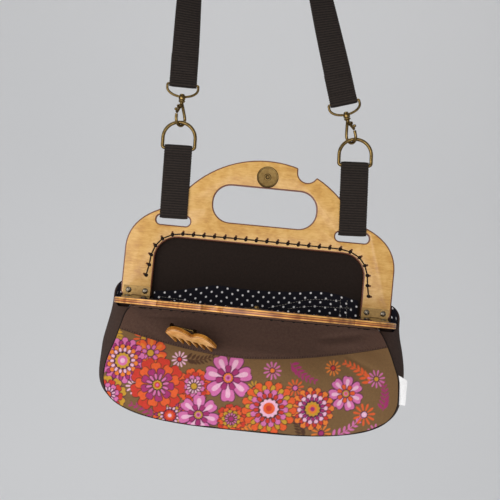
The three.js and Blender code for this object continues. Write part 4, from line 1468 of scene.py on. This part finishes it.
class Bloom(Enum):
    """The kinds of flower in the print: rings of petals from the outside in, and the disc's radius."""

    DAHLIA = (
        (
            Ring(15, 1.0, 0.55, 1.0, 1), Ring(15, 0.86, 0.5, 0.7, 2, half_step=True),
            Ring(14, 0.7, 0.4, 1.0, 3), Ring(14, 0.56, 0.3, 0.8, 4, half_step=True),
        ),
        0.36,
    )
    COSMOS = (
        (
            Ring(7, 1.0, 0.1, 1.06, 1, 0.1), Ring(7, 0.8, 0.28, 0.45, 2, 0.0, outlined=False),
            Ring(7, 0.5, 0.15, 0.75, 3, half_step=True),
        ),
        0.2,
    )
    PEONY = (
        (
            Ring(9, 1.0, 0.3, 1.12, 1, 0.06), Ring(9, 0.8, 0.3, 1.0, 2, 0.05, True),
            Ring(9, 0.6, 0.2, 1.0, 3, 0.04), Ring(12, 0.4, 0.15, 0.7, 4, half_step=True),
        ),
        0.17,
    )
    DAISY = ((Ring(11, 1.0, 0.25, 0.6, 1, outlined=False),), 0.26)
    SPRIG = ((), 0.0)


@dataclass(frozen=True)
class Flower:
    """One printed flower: kind, middle, radius, turn and its inks, first the outline and last the disc."""

    kind: Bloom
    x: float
    z: float
    radius: float
    turn: float
    inks: tuple[str, ...]


class FlowerPrint:
    """A generic scattered floral on a brown ground, in the warm and pink inks of the real cloth."""

    ground = "765938"
    plum, rose, pink, pale = "46183a", "a03069", "cf6da4", "e6b3cb"
    red, orange, amber, mustard = "c4382a", "dc5a2c", "e07a30", "c0922e"
    leaf = "4c3222"
    flowers = tuple(Flower(*row) for row in (
        (Bloom.SPRIG, -86, -99, 17, 2.7, (rose,)),
        (Bloom.SPRIG, -118, -38, 12, -0.9, (mustard,)),
        (Bloom.SPRIG, -44, -50, 13, 0.2, (leaf,)),
        (Bloom.SPRIG, 4, -104, 15, 0.15, (amber,)),
        (Bloom.SPRIG, 46, -54, 14, -0.5, (rose,)),
        (Bloom.SPRIG, 92, -98, 17, 0.75, (pink,)),
        (Bloom.SPRIG, 96, -46, 15, 2.6, (orange,)),
        (Bloom.SPRIG, 121, -66, 13, 1.7, (rose,)),
        (Bloom.SPRIG, 48, -100, 11, 2.2, (leaf,)),
        (Bloom.DAISY, -96, -36, 9, 0.1, (plum, orange, mustard)),
        (Bloom.DAISY, 20, -53, 8, 0.5, (plum, pink, amber)),
        (Bloom.DAISY, 73, -46, 7, 0.2, (plum, amber, red)),
        (Bloom.DAISY, 112, -52, 8, 0.9, (plum, pink, mustard)),
        (Bloom.DAISY, 104, -84, 10, 0.4, (plum, orange, pale)),
        (Bloom.DAISY, 68, -104, 9, 0.0, (plum, amber, rose)),
        (Bloom.DAISY, -62, -51, 7, 0.6, (plum, pale, red)),
        (Bloom.DAISY, 116, -99, 8, 0.6, (plum, pink, amber)),
        (Bloom.COSMOS, -88, -48, 15, 0.2, (plum, orange, amber, pink, mustard)),
        (Bloom.PEONY, -47, -73, 16, 0.9, (leaf, orange, red, pink, pale, mustard)),
        (Bloom.DAHLIA, -66, -101, 15, 0.0, (plum, orange, rose, mustard, pale, red)),
        (Bloom.DAISY, -99, -78, 8, 0.2, (plum, pale, mustard)),
        (Bloom.PEONY, -12, -99, 14, 0.3, (leaf, red, orange, mustard, pink, rose)),
        (Bloom.DAISY, 41, -66, 8, 0.3, (plum, orange, pink)),
        (Bloom.DAISY, 6, -70, 7, 0.8, (plum, mustard, orange)),
        (Bloom.DAHLIA, -112, -57, 20, 0.1, (plum, pink, rose, amber, pale, mustard)),
        (Bloom.COSMOS, 86, -67, 16, 0.3, (plum, pink, pale, orange, mustard)),
        (Bloom.PEONY, -122, -88, 17, 0.4, (plum, mustard, red, pink, pale, orange)),
        (Bloom.COSMOS, -41, -98, 19, 0.2, (plum, pink, pale, rose, mustard)),
        (Bloom.PEONY, -79, -75, 25, 0.0, (leaf, red, orange, rose, pink, mustard)),
        (Bloom.DAHLIA, 58, -83, 19, 0.3, (plum, amber, red, pale, rose, mustard)),
        (Bloom.COSMOS, -18, -63, 22, 0.6, (plum, pink, pale, rose, amber)),
        (Bloom.DAHLIA, 20, -86, 24, 0.0, (leaf, orange, mustard, pink, red, pale)),
    ))
    blur = 0.5
    outline = 0.7

    def lay(self, colours: Points, cover: Points, code: str) -> None:
        """Lays one ink over the colours where it covers."""
        colours += (np.array(linear(code)) - colours) * cover[:, None]

    def inside(self, reach: Points) -> Points:
        """How much of a place is inside an outline, from its signed distance outwards."""
        return np.clip(0.5 - reach / self.blur, 0, 1)

    def petal_reach(self, ring: Ring, flower: Flower, r: Points, angle: Points) -> Points:
        """The signed distance of each place from a ring's nearest petal."""
        sector = math.tau / ring.petals
        folded = (angle + (0.5 if not ring.half_step else 0.0) * sector) % sector - sector / 2
        beside = np.abs(r * np.sin(folded))
        end = flower.radius * ring.reach
        start = flower.radius * ring.root
        broad = ring.width * math.tan(sector / 2) * (start * 0.25 + end * 0.75)
        end = end * (1 - ring.notch * np.exp(-((beside / (0.35 * broad)) ** 2)))
        share = np.clip((r * np.cos(folded) - start) / (end - start), -0.2, 1.3)
        belly = np.clip(share, 0.001, 1) ** 0.7 * np.clip(1 - np.clip(share, 0, 1) ** 4, 0, 1) ** 0.5
        return np.maximum(beside - broad * belly, np.maximum(share - 1, -share) * (end - start))

    def sprig(self, colours: Points, dx: Points, dz: Points, flower: Flower) -> None:
        """Draws a curved sprig of almond-shaped leaves."""
        cos, sin = math.cos(flower.turn), math.sin(flower.turn)
        along, beside = dx * cos + dz * sin, dz * cos - dx * sin
        size = flower.radius
        bend = 0.2 * along**2 / size
        stem = np.maximum(np.abs(beside - bend) - 0.35, np.abs(along) - size)
        self.lay(colours, self.inside(stem), flower.inks[0])
        for k in range(7):
            at = size * (k / 3.5 - 0.9)
            length = 3.6 - 0.28 * k
            for way in (-1, 1):
                lx = along - at
                lz = (beside - 0.2 * at**2 / size) * way
                u = (lx * 0.75 + lz * 0.66) / length - 1.05
                v = (lz * 0.75 - lx * 0.66) / length
                self.lay(colours, self.inside((np.abs(v) - 0.36 * (1 - u**2)) * length), flower.inks[0])

    def bloom(self, colours: Points, x: Points, z: Points, flower: Flower) -> None:
        """Draws one flower over the colours."""
        dx, dz = x - flower.x, z - flower.z
        if flower.kind is Bloom.SPRIG:
            self.sprig(colours, dx, dz, flower)
            return
        r = np.hypot(dx, dz)
        angle = np.arctan2(dz, dx) + flower.turn
        rings, disc = flower.kind.value
        for ring in rings:
            reach = self.petal_reach(ring, flower, r, angle)
            if ring.outlined:
                self.lay(colours, self.inside(reach - self.outline), flower.inks[0])
            self.lay(colours, self.inside(reach), flower.inks[ring.ink])
        core = flower.radius * disc
        self.lay(colours, self.inside(r - core - self.outline), flower.inks[0])
        self.lay(colours, self.inside(r - core * (0.93 + 0.07 * np.cos(angle * 12))), flower.inks[-1])
        if core > 3:
            self.lay(colours, self.inside(r - core * 0.6), flower.inks[1])
            self.lay(colours, self.inside(r - core * 0.3), flower.inks[-2])

    def colours(self, x: Points, z: Points) -> Points:
        """The print's colour at each place on the front.

        Args:
            x: Places across in bag millimetres.
            z: Heights in bag millimetres.

        Returns:
            Linear colours.
        """
        colours = np.tile(np.array(linear(self.ground)), (len(x), 1))
        for flower in self.flowers:
            near = np.flatnonzero(np.hypot(x - flower.x, z - flower.z) < flower.radius * 1.5)
            patch = colours[near]
            self.bloom(patch, x[near], z[near], flower)
            colours[near] = patch
        return colours


class HandlePlates:
    """The two plywood plates."""

    bevel = 1.2
    short_edge = 0.6

    def plate(self, node: str, name: str, axes: tuple[int, int, int], scorch_and_light_slope: float) -> None:
        """Makes one plate from its CAD node, with eased edges.

        Args:
            node: The CAD node.
            name: The piece's name.
            axes: The axis along the grain, the one through the sheet and the one across the grain.
            scorch_and_light_slope: How steep a face of the rounding may be and still be scorched, from 1 for flat to 0.
        """
        piece = copy_of_node(node, name)
        with editing(piece):
            bpy.ops.mesh.dissolve_limited(angle_limit=math.radians(1))
            bpy.ops.mesh.remove_doubles(threshold=self.short_edge * MM)
        eased(piece, self.bevel, 2, 50, clamp=False)
        mark_sheet(piece, coordinates(piece)[:, axes], np.eye(3)[axes[1]], scorch_and_light_slope)
        dress(piece, BIRCH, [node])

    def build(self) -> None:
        """Makes both plates."""
        self.plate("back_plate", "back_handle", (0, 1, 2), 0.2)
        # The front plate's rounding keeps less scorch than the back's, so its edge seen end-on shows more
        # bright ply colour: painted light where the lamp catches that edge.
        self.plate("front_plate", "front_handle", (0, 2, 1), 0.6)


@dataclass(frozen=True)
class StrapEnd:
    """Where one end of the strap and its metalwork hang, in bag millimetres and radians."""

    side: Side
    loop_lean: float
    strap_lean: float
    hook_turn: float
    eye_turn: float
    slot_x: float = 82.0
    slot_z: float = 72.55
    plate_middle: float = 4.2
    loop_length: float = 66.4
    ring_straight: float = 9.4
    ring_radius: float = 14.8
    hook_length: float = 22.6
    eye_height: float = 12.4

    @staticmethod
    def up(lean: float) -> Points:
        """The way up for a piece that leans to the left."""
        return np.array([-math.sin(lean), 0.0, math.cos(lean)])

    @staticmethod
    def flat(lean: float) -> Points:
        """The way across for a piece that leans to the left."""
        return np.array([math.cos(lean), 0.0, math.sin(lean)])

    @property
    def slot(self) -> Points:
        """The middle of the plate's slot."""
        return np.array([self.side.value * self.slot_x, self.plate_middle, self.slot_z])

    @property
    def bar(self) -> Points:
        """The middle of the ring's straight bar."""
        return self.slot + self.up(self.loop_lean) * self.loop_length

    @property
    def hang(self) -> Points:
        """Where the hook holds the ring."""
        crown = self.bar + self.up(self.loop_lean) * self.ring_straight
        return crown + self.up(self.strap_lean) * self.ring_radius

    @property
    def eye_bar(self) -> Points:
        """The middle of the bar that the strap folds round."""
        return self.hang + self.up(self.strap_lean) * (self.hook_length + self.eye_height)

    def matrix(self, place: Points, lean: float, turn: float = 0.0, lift: float = 0.0) -> Matrix:
        """The place and lean of a piece that hangs here."""
        stand = Matrix.Translation(Vector(place)) @ Matrix.Rotation(-lean, 4, "Y")
        return stand @ Matrix.Translation((0, 0, lift)) @ Matrix.Rotation(turn, 4, "Z")


ENDS = (
    StrapEnd(Side.LEFT, math.radians(1.7), math.radians(1.5), math.radians(-125), math.radians(10)),
    StrapEnd(Side.RIGHT, math.radians(3), math.radians(17.5), math.radians(-55), 0.0),
)


class Webbing:
    """The shoulder strap and the two short loops."""

    width = 25.4
    thickness = 1.8
    rib = 2.3
    step = 0.46
    bight_radius = 33.0
    fold = 28.0
    bar_clearance = 1.4
    hump_radius = 96.0
    hump_centre = 39.25
    slot_half = 4.25
    slack = 0.3
    off_plate, off_bar = 3.0, 1.9
    tail_gap = 0.06
    tail_neck = 7.0
    join_half, join_end = 18, 40
    stitch, stitch_width, stitch_pitch = 2.2, 0.5, 3.0
    loop_seams = (6.0, 8.4)
    tack_inset, tack_low, tack_high = 2.6, 9.0, 25.0

    def loop(self, end: StrapEnd) -> None:
        """Makes the closed loop through a plate's slot and over a ring's bar."""
        half = self.thickness / 2
        rise = self.width / 2 * math.sin(end.loop_lean)
        inner_x = end.slot_x - self.width / 2
        hump = self.hump_centre + math.sqrt(self.hump_radius**2 - inner_x**2)
        low = self.slot_half - self.slack - rise - half
        flat = hump - end.slot_z + 2 * rise + self.slack
        wide, narrow = self.off_plate + half, self.off_bar + half
        over = arc_points(0, end.loop_length, narrow, 0, 180, 16)
        outline = [(wide, low), (wide, flat), *over, (-wide, flat), (-wide, low)]
        line = rounded(evenly(np.array(outline), self.step, closed=True), 6)
        line = evenly(line, self.step, closed=True)
        up, across = end.up(end.loop_lean), end.flat(end.loop_lean)
        points = end.slot + np.outer(line[:, 1], up) + np.outer(line[:, 0], [0.0, 1.0, 0.0])
        widths = np.tile(across, (len(points), 1))
        label = end.side.label
        size = (self.width, self.thickness, self.rib)
        band = shaped_band(f"{label}_webbing_loop", points, widths, *size, True)
        dress(band, WEBBING, [f"{label}_loop"], angle=60)
        rows = []
        for drop in self.loop_seams:
            for place in np.arange(-self.width / 2 + 2, self.width / 2 - 1, self.stitch_pitch):
                lift = end.loop_length - drop
                share = (lift - flat) / (end.loop_length - flat)
                out = mix(wide, narrow, share) + half
                rows.append(end.slot + up * lift + across * place + np.array([0.0, -out, 0.0]))
        ways = np.tile(across, (len(rows), 1))
        look = (self.stitch, self.stitch_width, THREAD, "webbing")
        run_of_stitches(f"{label}_loop_stitches", np.array(rows), ways, *look)

    def run(self, end: StrapEnd, length: float) -> tuple[Points, Points]:
        """One end of the strap, from its sewn tail round the eye's bar and up to the bight.

        Args:
            end: The end of the strap.
            length: How far it runs straight from the bar.

        Returns:
            The line's points, and the way across at each.
        """
        layer = self.thickness / 2 + self.tail_gap
        round_bar = self.bar_clearance + self.thickness / 2
        path = [(layer, self.fold), (layer, self.tail_neck)]
        path += arc_points(0, 0, round_bar, 40, -220, 20)
        path += [(-layer, self.tail_neck), (-layer, self.fold), (-layer / 2, self.fold + self.join_half)]
        path += [(0.0, self.fold + self.join_end), (0.0, length)]
        line = evenly(np.array(path), self.step)
        for _ in range(5):
            line[1:-1] = (line[:-2] + 2 * line[1:-1] + line[2:]) / 4
        straight = self.fold * 0.6
        share = np.clip((line[:, 1] - straight) / (length - straight), 0, 1)
        turn = end.eye_turn + (np.pi / 2 - end.eye_turn) * share
        up, flat = end.up(end.strap_lean), end.flat(end.strap_lean)
        widths = np.cos(turn)[:, None] * flat + np.sin(turn)[:, None] * np.array([0.0, 1.0, 0.0])
        depths = np.cross(up, widths)
        points = end.eye_bar + line[:, 1:2] * up + line[:, :1] * depths
        return points, widths

    def strap(self) -> None:
        """Makes the shoulder strap in one piece."""
        left, right = ENDS
        a, b = left.flat(left.strap_lean)[[0, 2]], -right.flat(right.strap_lean)[[0, 2]]
        reaches = [self.bight_radius + way @ end.eye_bar[[0, 2]] for way, end in zip((a, b), ENDS)]
        middle = np.linalg.solve([a, b], reaches)
        runs = []
        for end, way in zip(ENDS, (a, b)):
            touch = middle - way * self.bight_radius
            runs.append(self.run(end, float(np.linalg.norm(touch - end.eye_bar[[0, 2]]))))
        start = math.atan2(-a[1], -a[0]) % math.tau
        stop = math.atan2(-b[1], -b[0])
        count = int((start - stop) * self.bight_radius / self.step)
        angles = np.linspace(start, stop, count + 1)[1:-1]
        bight = np.stack([
            middle[0] + self.bight_radius * np.cos(angles),
            np.full_like(angles, left.plate_middle),
            middle[1] + self.bight_radius * np.sin(angles),
        ], axis=1)
        points = np.vstack([runs[0][0], bight, runs[1][0][::-1]])
        across = np.vstack([runs[0][1], np.tile([0.0, 1.0, 0.0], (len(bight), 1)), runs[1][1][::-1]])
        band = shaped_band("shoulder_webbing", points, across, self.width, self.thickness, self.rib, False)
        dress(band, WEBBING, ["shoulder_strap"], angle=60)

    def tack(self, end: StrapEnd) -> None:
        """Sews an end's fold down with a square of stitches on both faces."""
        up, flat = end.up(end.strap_lean), end.flat(end.strap_lean)
        across = math.cos(end.eye_turn) * flat + math.sin(end.eye_turn) * np.array([0.0, 1.0, 0.0])
        depth = np.cross(up, across)
        half, low, high = self.width / 2 - self.tack_inset, self.tack_low, self.tack_high
        corners = np.array([(-half, low), (half, low), (half, high), (-half, high)], float)
        marks = evenly(corners, self.stitch_pitch, closed=True)
        ahead = np.roll(marks, -1, 0) - marks
        places, ways, outs = [], [], []
        for face in (-1, 1):
            out = face * (self.thickness + 0.1)
            places.append(end.eye_bar + marks[:, :1] * across + marks[:, 1:] * up + out * depth)
            ways.append(ahead[:, :1] * across + ahead[:, 1:] * up)
            outs.append(np.tile(depth * face, (len(marks), 1)))
        places, ways, outs = (np.vstack(part) for part in (places, ways, outs))
        look = (self.stitch, self.stitch_width, THREAD, "webbing")
        run_of_stitches(f"{end.side.label}_strap_stitches", places, ways, *look, outs)

    def build(self) -> None:
        """Makes all the webbing."""
        self.strap()
        for end in ENDS:
            self.loop(end)
            self.tack(end)


class RingsAndHooks:
    """The D-rings, strap eyes and trigger hooks."""

    ring_wire = 1.6
    eye_wire = 1.15
    eye_half = 14.3
    hook_wire = 1.4
    hook_bend = 6.4
    pivot = 14.8
    ring_corner, eye_corner = 2.4, 1.3
    stirrup_share = 0.72
    stirrup_steps = 36
    ring_slack, bend_half = 0.3, 1.25
    gate_ease = 0.2
    shank = ((-0.9, 17.0), (-1.7, 15.2), (-2.6, 13.2), (-3.6, 11.0), (-4.6, 8.8), (-5.5, 6.8))
    point = (5.6, 7.04)
    cheek_radius, cheek_depth, cheek_x, cheek_y = 1.9, 1.4, 1.6, 1.95
    barrel = (
        (0.0, 13.0), (1.4, 13.1), (2.0, 13.8), (2.2, 14.8), (2.0, 16.0), (1.7, 17.4), (1.75, 18.0),
        (2.2, 18.4), (2.9, 18.8), (3.1, 19.3), (3.1, 19.8), (2.8, 20.15), (1.2, 20.2), (1.2, 24.95),
        (2.2, 25.0), (2.3, 25.4), (1.9, 26.0), (1.1, 26.35), (0.0, 26.45),
    )
    boss = ((1.5, -2.05), (2.7, -2.05), (3.1, -1.5), (3.1, 1.5), (2.7, 2.05), (1.5, 2.05), (1.5, -2.05))

    def ring(self, end: StrapEnd) -> None:
        """Makes a D-ring from round wire."""
        corner = self.ring_corner
        half = end.ring_radius
        line = [
            *arc_points(-half + corner, corner, corner, 180, 270, 6),
            *arc_points(half - corner, corner, corner, 270, 360, 6),
            *arc_points(0, end.ring_straight, half, 0, 180, 48),
        ]
        ring = wire("ring", [(x, 0.0, z) for x, z in line], self.ring_wire, True)
        set_in(ring, end.matrix(end.bar, end.loop_lean))
        ring.name = f"{end.side.label}_d_ring"
        dress(ring, BRASS, [f"{end.side.label}_ring"], angle=50)

    def eye(self, end: StrapEnd) -> None:
        """Makes a strap eye: a wire stirrup with a boss for the swivel."""
        side = end.eye_height * self.stirrup_share
        corner = self.eye_corner
        half = self.eye_half
        turns = [math.pi * (1 + i / self.stirrup_steps) for i in range(self.stirrup_steps + 1)]
        lower = [(half * math.cos(a), side + (side - 1.0) * math.sin(a)) for a in turns]
        line = [
            *lower,
            *arc_points(half - corner, end.eye_height - corner, corner, 0, 90, 5),
            *arc_points(-half + corner, end.eye_height - corner, corner, 90, 180, 5),
        ]
        stirrup = wire("stirrup", [(x, 0.0, z) for x, z in line], self.eye_wire, True, 4)
        boss = turned("boss", self.boss, 24)
        piece = joined(f"{end.side.label}_strap_eye", [stirrup, boss])
        set_in(piece, end.matrix(end.hang, end.strap_lean, end.eye_turn, end.hook_length))
        dress(piece, BRASS, [f"{end.side.label}_eye"], angle=50)

    def hook(self, end: StrapEnd) -> None:
        """Makes a hook: a turned barrel with its swivel stud, and a bent wire arm."""
        body = turned("barrel", self.barrel, 28)
        centre = self.hook_bend - self.ring_wire - self.ring_slack - self.bend_half
        arm_line = [
            *self.shank,
            *arc_points(0, centre, self.hook_bend, 170, 360, 24),
            *((self.hook_bend, z) for z in self.point),
        ]
        arm = wire("arm", [(x, 0.0, z) for x, z in arm_line], self.hook_wire, False)
        cheeks = []
        for way in (-1, 1):
            cheeks.append(added(
                bpy.ops.mesh.primitive_cylinder_add,
                vertices=20, radius=self.cheek_radius, depth=self.cheek_depth,
                location=(self.cheek_x, way * self.cheek_y, self.pivot), rotation=(math.pi / 2, 0, 0),
            ))
            bpy.ops.object.transform_apply()
        label = end.side.label
        piece = joined(f"{label}_trigger_hook", [body, arm, *cheeks])
        set_in(piece, end.matrix(end.hang, end.strap_lean, end.hook_turn))
        dress(piece, BRASS, [f"{label}_hook"], body=f"{label}_hook", angle=50)

    def gate(self, end: StrapEnd) -> None:
        """Makes a gate with eased edges."""
        label = end.side.label
        piece = eased(copy_of_node(f"{label}_gate", f"{label}_trigger_gate"), self.gate_ease)
        dress(piece, BRASS, [f"{label}_gate"], body=f"{label}_gate", angle=50)

    def build(self) -> None:
        """Makes all the rings, eyes and hooks."""
        for end in ENDS:
            self.ring(end)
            self.eye(end)
            self.hook(end)
            self.gate(end)


SWUNG = Matrix.Rotation(math.radians(90), 4, "X") @ Matrix.Rotation(math.pi, 4, "Z")


class Fasteners:
    """The magnetic snap's halves and the hinges' screws."""

    face = 1.2
    snap_z = 120.05
    disc = (
        (0.0, 0.36), (1.1, 0.36), (1.25, 0.2), (1.5, 0.2), (1.7, 0.75), (2.3, 1.05), (2.9, 0.95),
        (3.05, 0.72), (3.3, 0.72), (7.6, 0.86), (8.3, 0.9), (8.35, 0.5), (8.6, 0.5), (8.65, 0.95),
        (9.2, 1.05), (9.4, 0.9), (9.85, 0.35), (9.85, 0.0), (0.0, 0.0),
    )
    # Radius bands of the snap that take the darkest brass: partly patina, partly painted shade in the grooves
    # and on the outer rim's curled edge.
    hollows = ((1.1, 1.7), (2.9, 3.3), (8.3, 8.65), (9.35, 9.9))
    stud = (
        (0.0, 2.8), (1.1, 2.8), (1.7, 2.4), (2.0, 1.9), (2.0, 0.75), (2.5, 0.6), (8.7, 0.6), (9.3, 0.58),
        (9.75, 0.4), (9.85, 0.2), (9.85, 0.0), (0.0, 0.0),
    )
    screw = ((0.0, 1.2), (0.9, 1.15), (1.7, 0.95), (2.3, 0.6), (2.6, 0.15), (2.6, 0.0), (0.0, 0.0))
    hinge_x = 108.6
    screw_pitch = 15.0
    screw_z = 5.875

    def snap(self, name: str, profile: Sequence[tuple[float, float]], node: str, base: Matrix) -> None:
        """Makes one half of the snap."""
        piece = turned(name, profile, 64)
        reach = np.hypot(*face_values(piece, "center")[:, :2].T)
        patina_and_shade = np.any([(reach > low) & (reach < high) for low, high in self.hollows], axis=0)
        stand = Matrix.Translation((0, self.face, self.snap_z)) @ Matrix.Rotation(math.pi / 2, 4, "X")
        set_in(piece, base @ stand)
        dress(piece, SNAP_BRASS, [node], angle=30)
        # These bands take the darkest brass: patina and painted shade.
        second_material(piece, PATINA_AND_SHADE_BRASS, patina_and_shade)

    def screw_head(self) -> bpy.types.Object:
        """Models one screw head with a driver's slot."""
        head = turned("screw_head", self.screw, 24)
        slot_size = (6.0, 0.6, 1.3)
        cutter = added(bpy.ops.mesh.primitive_cube_add, size=1, location=(0, 0, slot_size[2]))
        cutter.scale = slot_size
        bpy.ops.object.transform_apply(location=True, rotation=False, scale=True)
        slot = head.modifiers.new("slot", "BOOLEAN")
        slot.operation = "DIFFERENCE"
        slot.object = cutter
        slot.solver = "EXACT"
        apply_all(head)
        bpy.data.objects.remove(cutter)
        return head

    def screws(self) -> None:
        """Copies the screw head into every hinge hole."""
        head = self.screw_head()
        rng = random.Random(7)
        for plate, base in (("back", Matrix.Identity(4)), ("front", SWUNG)):
            for side in Side:
                x = side.value * self.hinge_x * (1 if plate == "back" else -1)
                for letter, offset in (("a", -0.5), ("b", 0.5)):
                    node = f"{side.label}_hinge_{plate}_screw_{letter}"
                    piece = new_object(f"{node}_head", head.data.copy())
                    spot = Matrix.Translation((x + offset * self.screw_pitch, -0.1, self.screw_z))
                    twist = Matrix.Rotation(rng.uniform(0, math.pi), 4, "Z")
                    set_in(piece, base @ spot @ Matrix.Rotation(math.pi / 2, 4, "X") @ twist)
                    dress(piece, STEEL, [node], angle=30)
        bpy.data.objects.remove(head)

    def build(self) -> None:
        """Makes the snap and the screws."""
        self.snap("snap_cup", self.disc, "back_snap", Matrix.Identity(4))
        self.snap("snap_stud", self.stud, "front_snap", SWUNG)
        self.screws()


class PlateStitching:
    """The dark thread that sews the cloth round each plate's arch."""

    inner_y, cloth_y = 1.42, 8.5
    thread, knot_length, knot_width = 1.5, 3.9, 3.7
    rim_out, rim_length, rim_width = 2.3, 1.8, 2.2
    side_holes = ((101.7, 20.6), (99.8, 30.2), (98.9, 39.4), (95.8, 48.1), (90.2, 55.0), (81.4, 59.4))
    top, top_rise = 61.0, 0.5
    pitch = 9.6
    half_top = 72.0
    slant = 0.25

    def holes(self) -> Points:
        """The holes from the left foot, over the arch, to the right foot, in x and z."""
        across = np.arange(-self.half_top, self.half_top + 0.1, self.pitch)
        rise = self.top_rise * np.cos(across / self.half_top * np.pi / 2)
        crown = np.stack([across, self.top + rise], axis=1)
        left = np.array([(-x, z) for x, z in self.side_holes])
        right = np.array(self.side_holes)[::-1]
        return np.vstack([left, crown, right])

    def sew(self, name: str, base: Matrix) -> None:
        """Sews one plate.

        Args:
            name: The piece's name.
            base: The plate's place.
        """
        turn = np.array(base)[:3, :3]
        holes = self.holes()
        ahead = np.diff(holes, axis=0)
        middles = (holes[:-1] + holes[1:]) / 2
        tangent = np.gradient(holes, axis=0)
        square = np.stack([-tangent[:, 1], tangent[:, 0]], axis=1)
        square /= np.linalg.norm(square, axis=1, keepdims=True)
        square += self.slant * tangent / np.linalg.norm(tangent, axis=1, keepdims=True)

        def lay(flat: Points, y: float) -> Points:
            """Puts flat points onto the plate at a depth."""
            return np.stack([flat[:, 0], np.full(len(flat), y), flat[:, 1]], axis=1) @ turn.T

        def outward(count: int, way: float) -> Points:
            """The way out of the plate's face, once for each stitch."""
            return np.tile(turn @ np.array([0.0, way, 0.0]), (count, 1))

        for face, y, way in (("inner", self.inner_y, -1.0), ("cloth", self.cloth_y, 1.0)):
            thread = (self.pitch + 0.8, self.thread, THREAD, "canvas", outward(len(middles), way))
            run_of_stitches(f"{name}_{face}_thread", lay(middles, y), lay(ahead, 0.0), *thread)
            outs = outward(len(holes), way)
            knots = (self.knot_length, self.knot_width, THREAD, "canvas", outs)
            run_of_stitches(f"{name}_{face}_knots", lay(holes, y), lay(square, 0.0), *knots)
            if face == "inner":
                rims = holes + self.rim_out * square / np.linalg.norm(square, axis=1, keepdims=True)
                marks = (self.rim_length, self.rim_width, SCORCHED, "plywood", outs)
                run_of_stitches(f"{name}_hole_rims", lay(rims, y - 0.1), lay(square, 0.0), *marks)

    def build(self) -> None:
        """Sews both plates."""
        self.sew("back_plate", Matrix.Identity(4))
        self.sew("front_plate", SWUNG)


class Brooch:
    """The comb-shaped wooden brooch on the yoke, and its pin."""

    tip, slope, turn = math.radians(58), math.radians(19), math.radians(-15)
    ease, ease_faces, ease_angle = 0.55, 3, 30
    pin_ease = 0.2

    def build(self) -> None:
        """Makes the brooch and its pin."""
        tipped = Matrix.Rotation(self.tip, 4, "X") @ Matrix.Rotation(self.slope, 4, "Y")
        rest = Matrix.Rotation(self.turn, 4, "Z") @ tipped
        piece = eased(copy_of_node("brooch", "comb_brooch"), self.ease, self.ease_faces, self.ease_angle)
        own = coordinates(piece) @ np.array(rest)[:3, :3]
        own -= (own.min(axis=0) + own.max(axis=0)) / 2
        mark_sheet(piece, own, np.array(rest)[:3, 1])
        dress(piece, HORN, ["brooch"])
        pin = eased(copy_of_node("brooch_pin", "brooch_clasp"), self.pin_ease)
        dress(pin, BRASS, ["brooch_pin"])


class SideTag:
    """The bare white tape tag in the right side seam."""

    ease = 0.25

    def build(self) -> None:
        """Makes the tag with soft edges."""
        piece = eased(copy_of_node("side_tag", "tape_tag"), self.ease)
        write_uv(piece, coordinates(piece)[:, [0, 2]])
        dress(piece, TAPE, ["side_tag"])


def finish_nodes() -> None:
    """Gives the CAD nodes that stay their materials."""
    finishes = {
        "plywood": BIRCH, "brass": BRASS, "canvas": CANVAS, "print_cloth": PRINT, "dotted_lining": DOTTED,
        "webbing": WEBBING, "tape": TAPE,
    }
    for part in frame["record"]["subparts"]:
        node = frame["nodes"][part["node"]]
        hinge = "hinge" in part["node"]
        node.data.materials.clear()
        node.data.materials.append(LEAF_BRASS if hinge else finishes[part["material_slot"]])


def main() -> None:
    """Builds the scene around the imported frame."""
    Studio().build()
    finish_nodes()
    HandlePlates().build()
    PlateStitching().build()
    Fasteners().build()
    ClothBody().build()
    Webbing().build()
    RingsAndHooks().build()
    Brooch().build()
    SideTag().build()


if __name__ == "__main__":
    main()
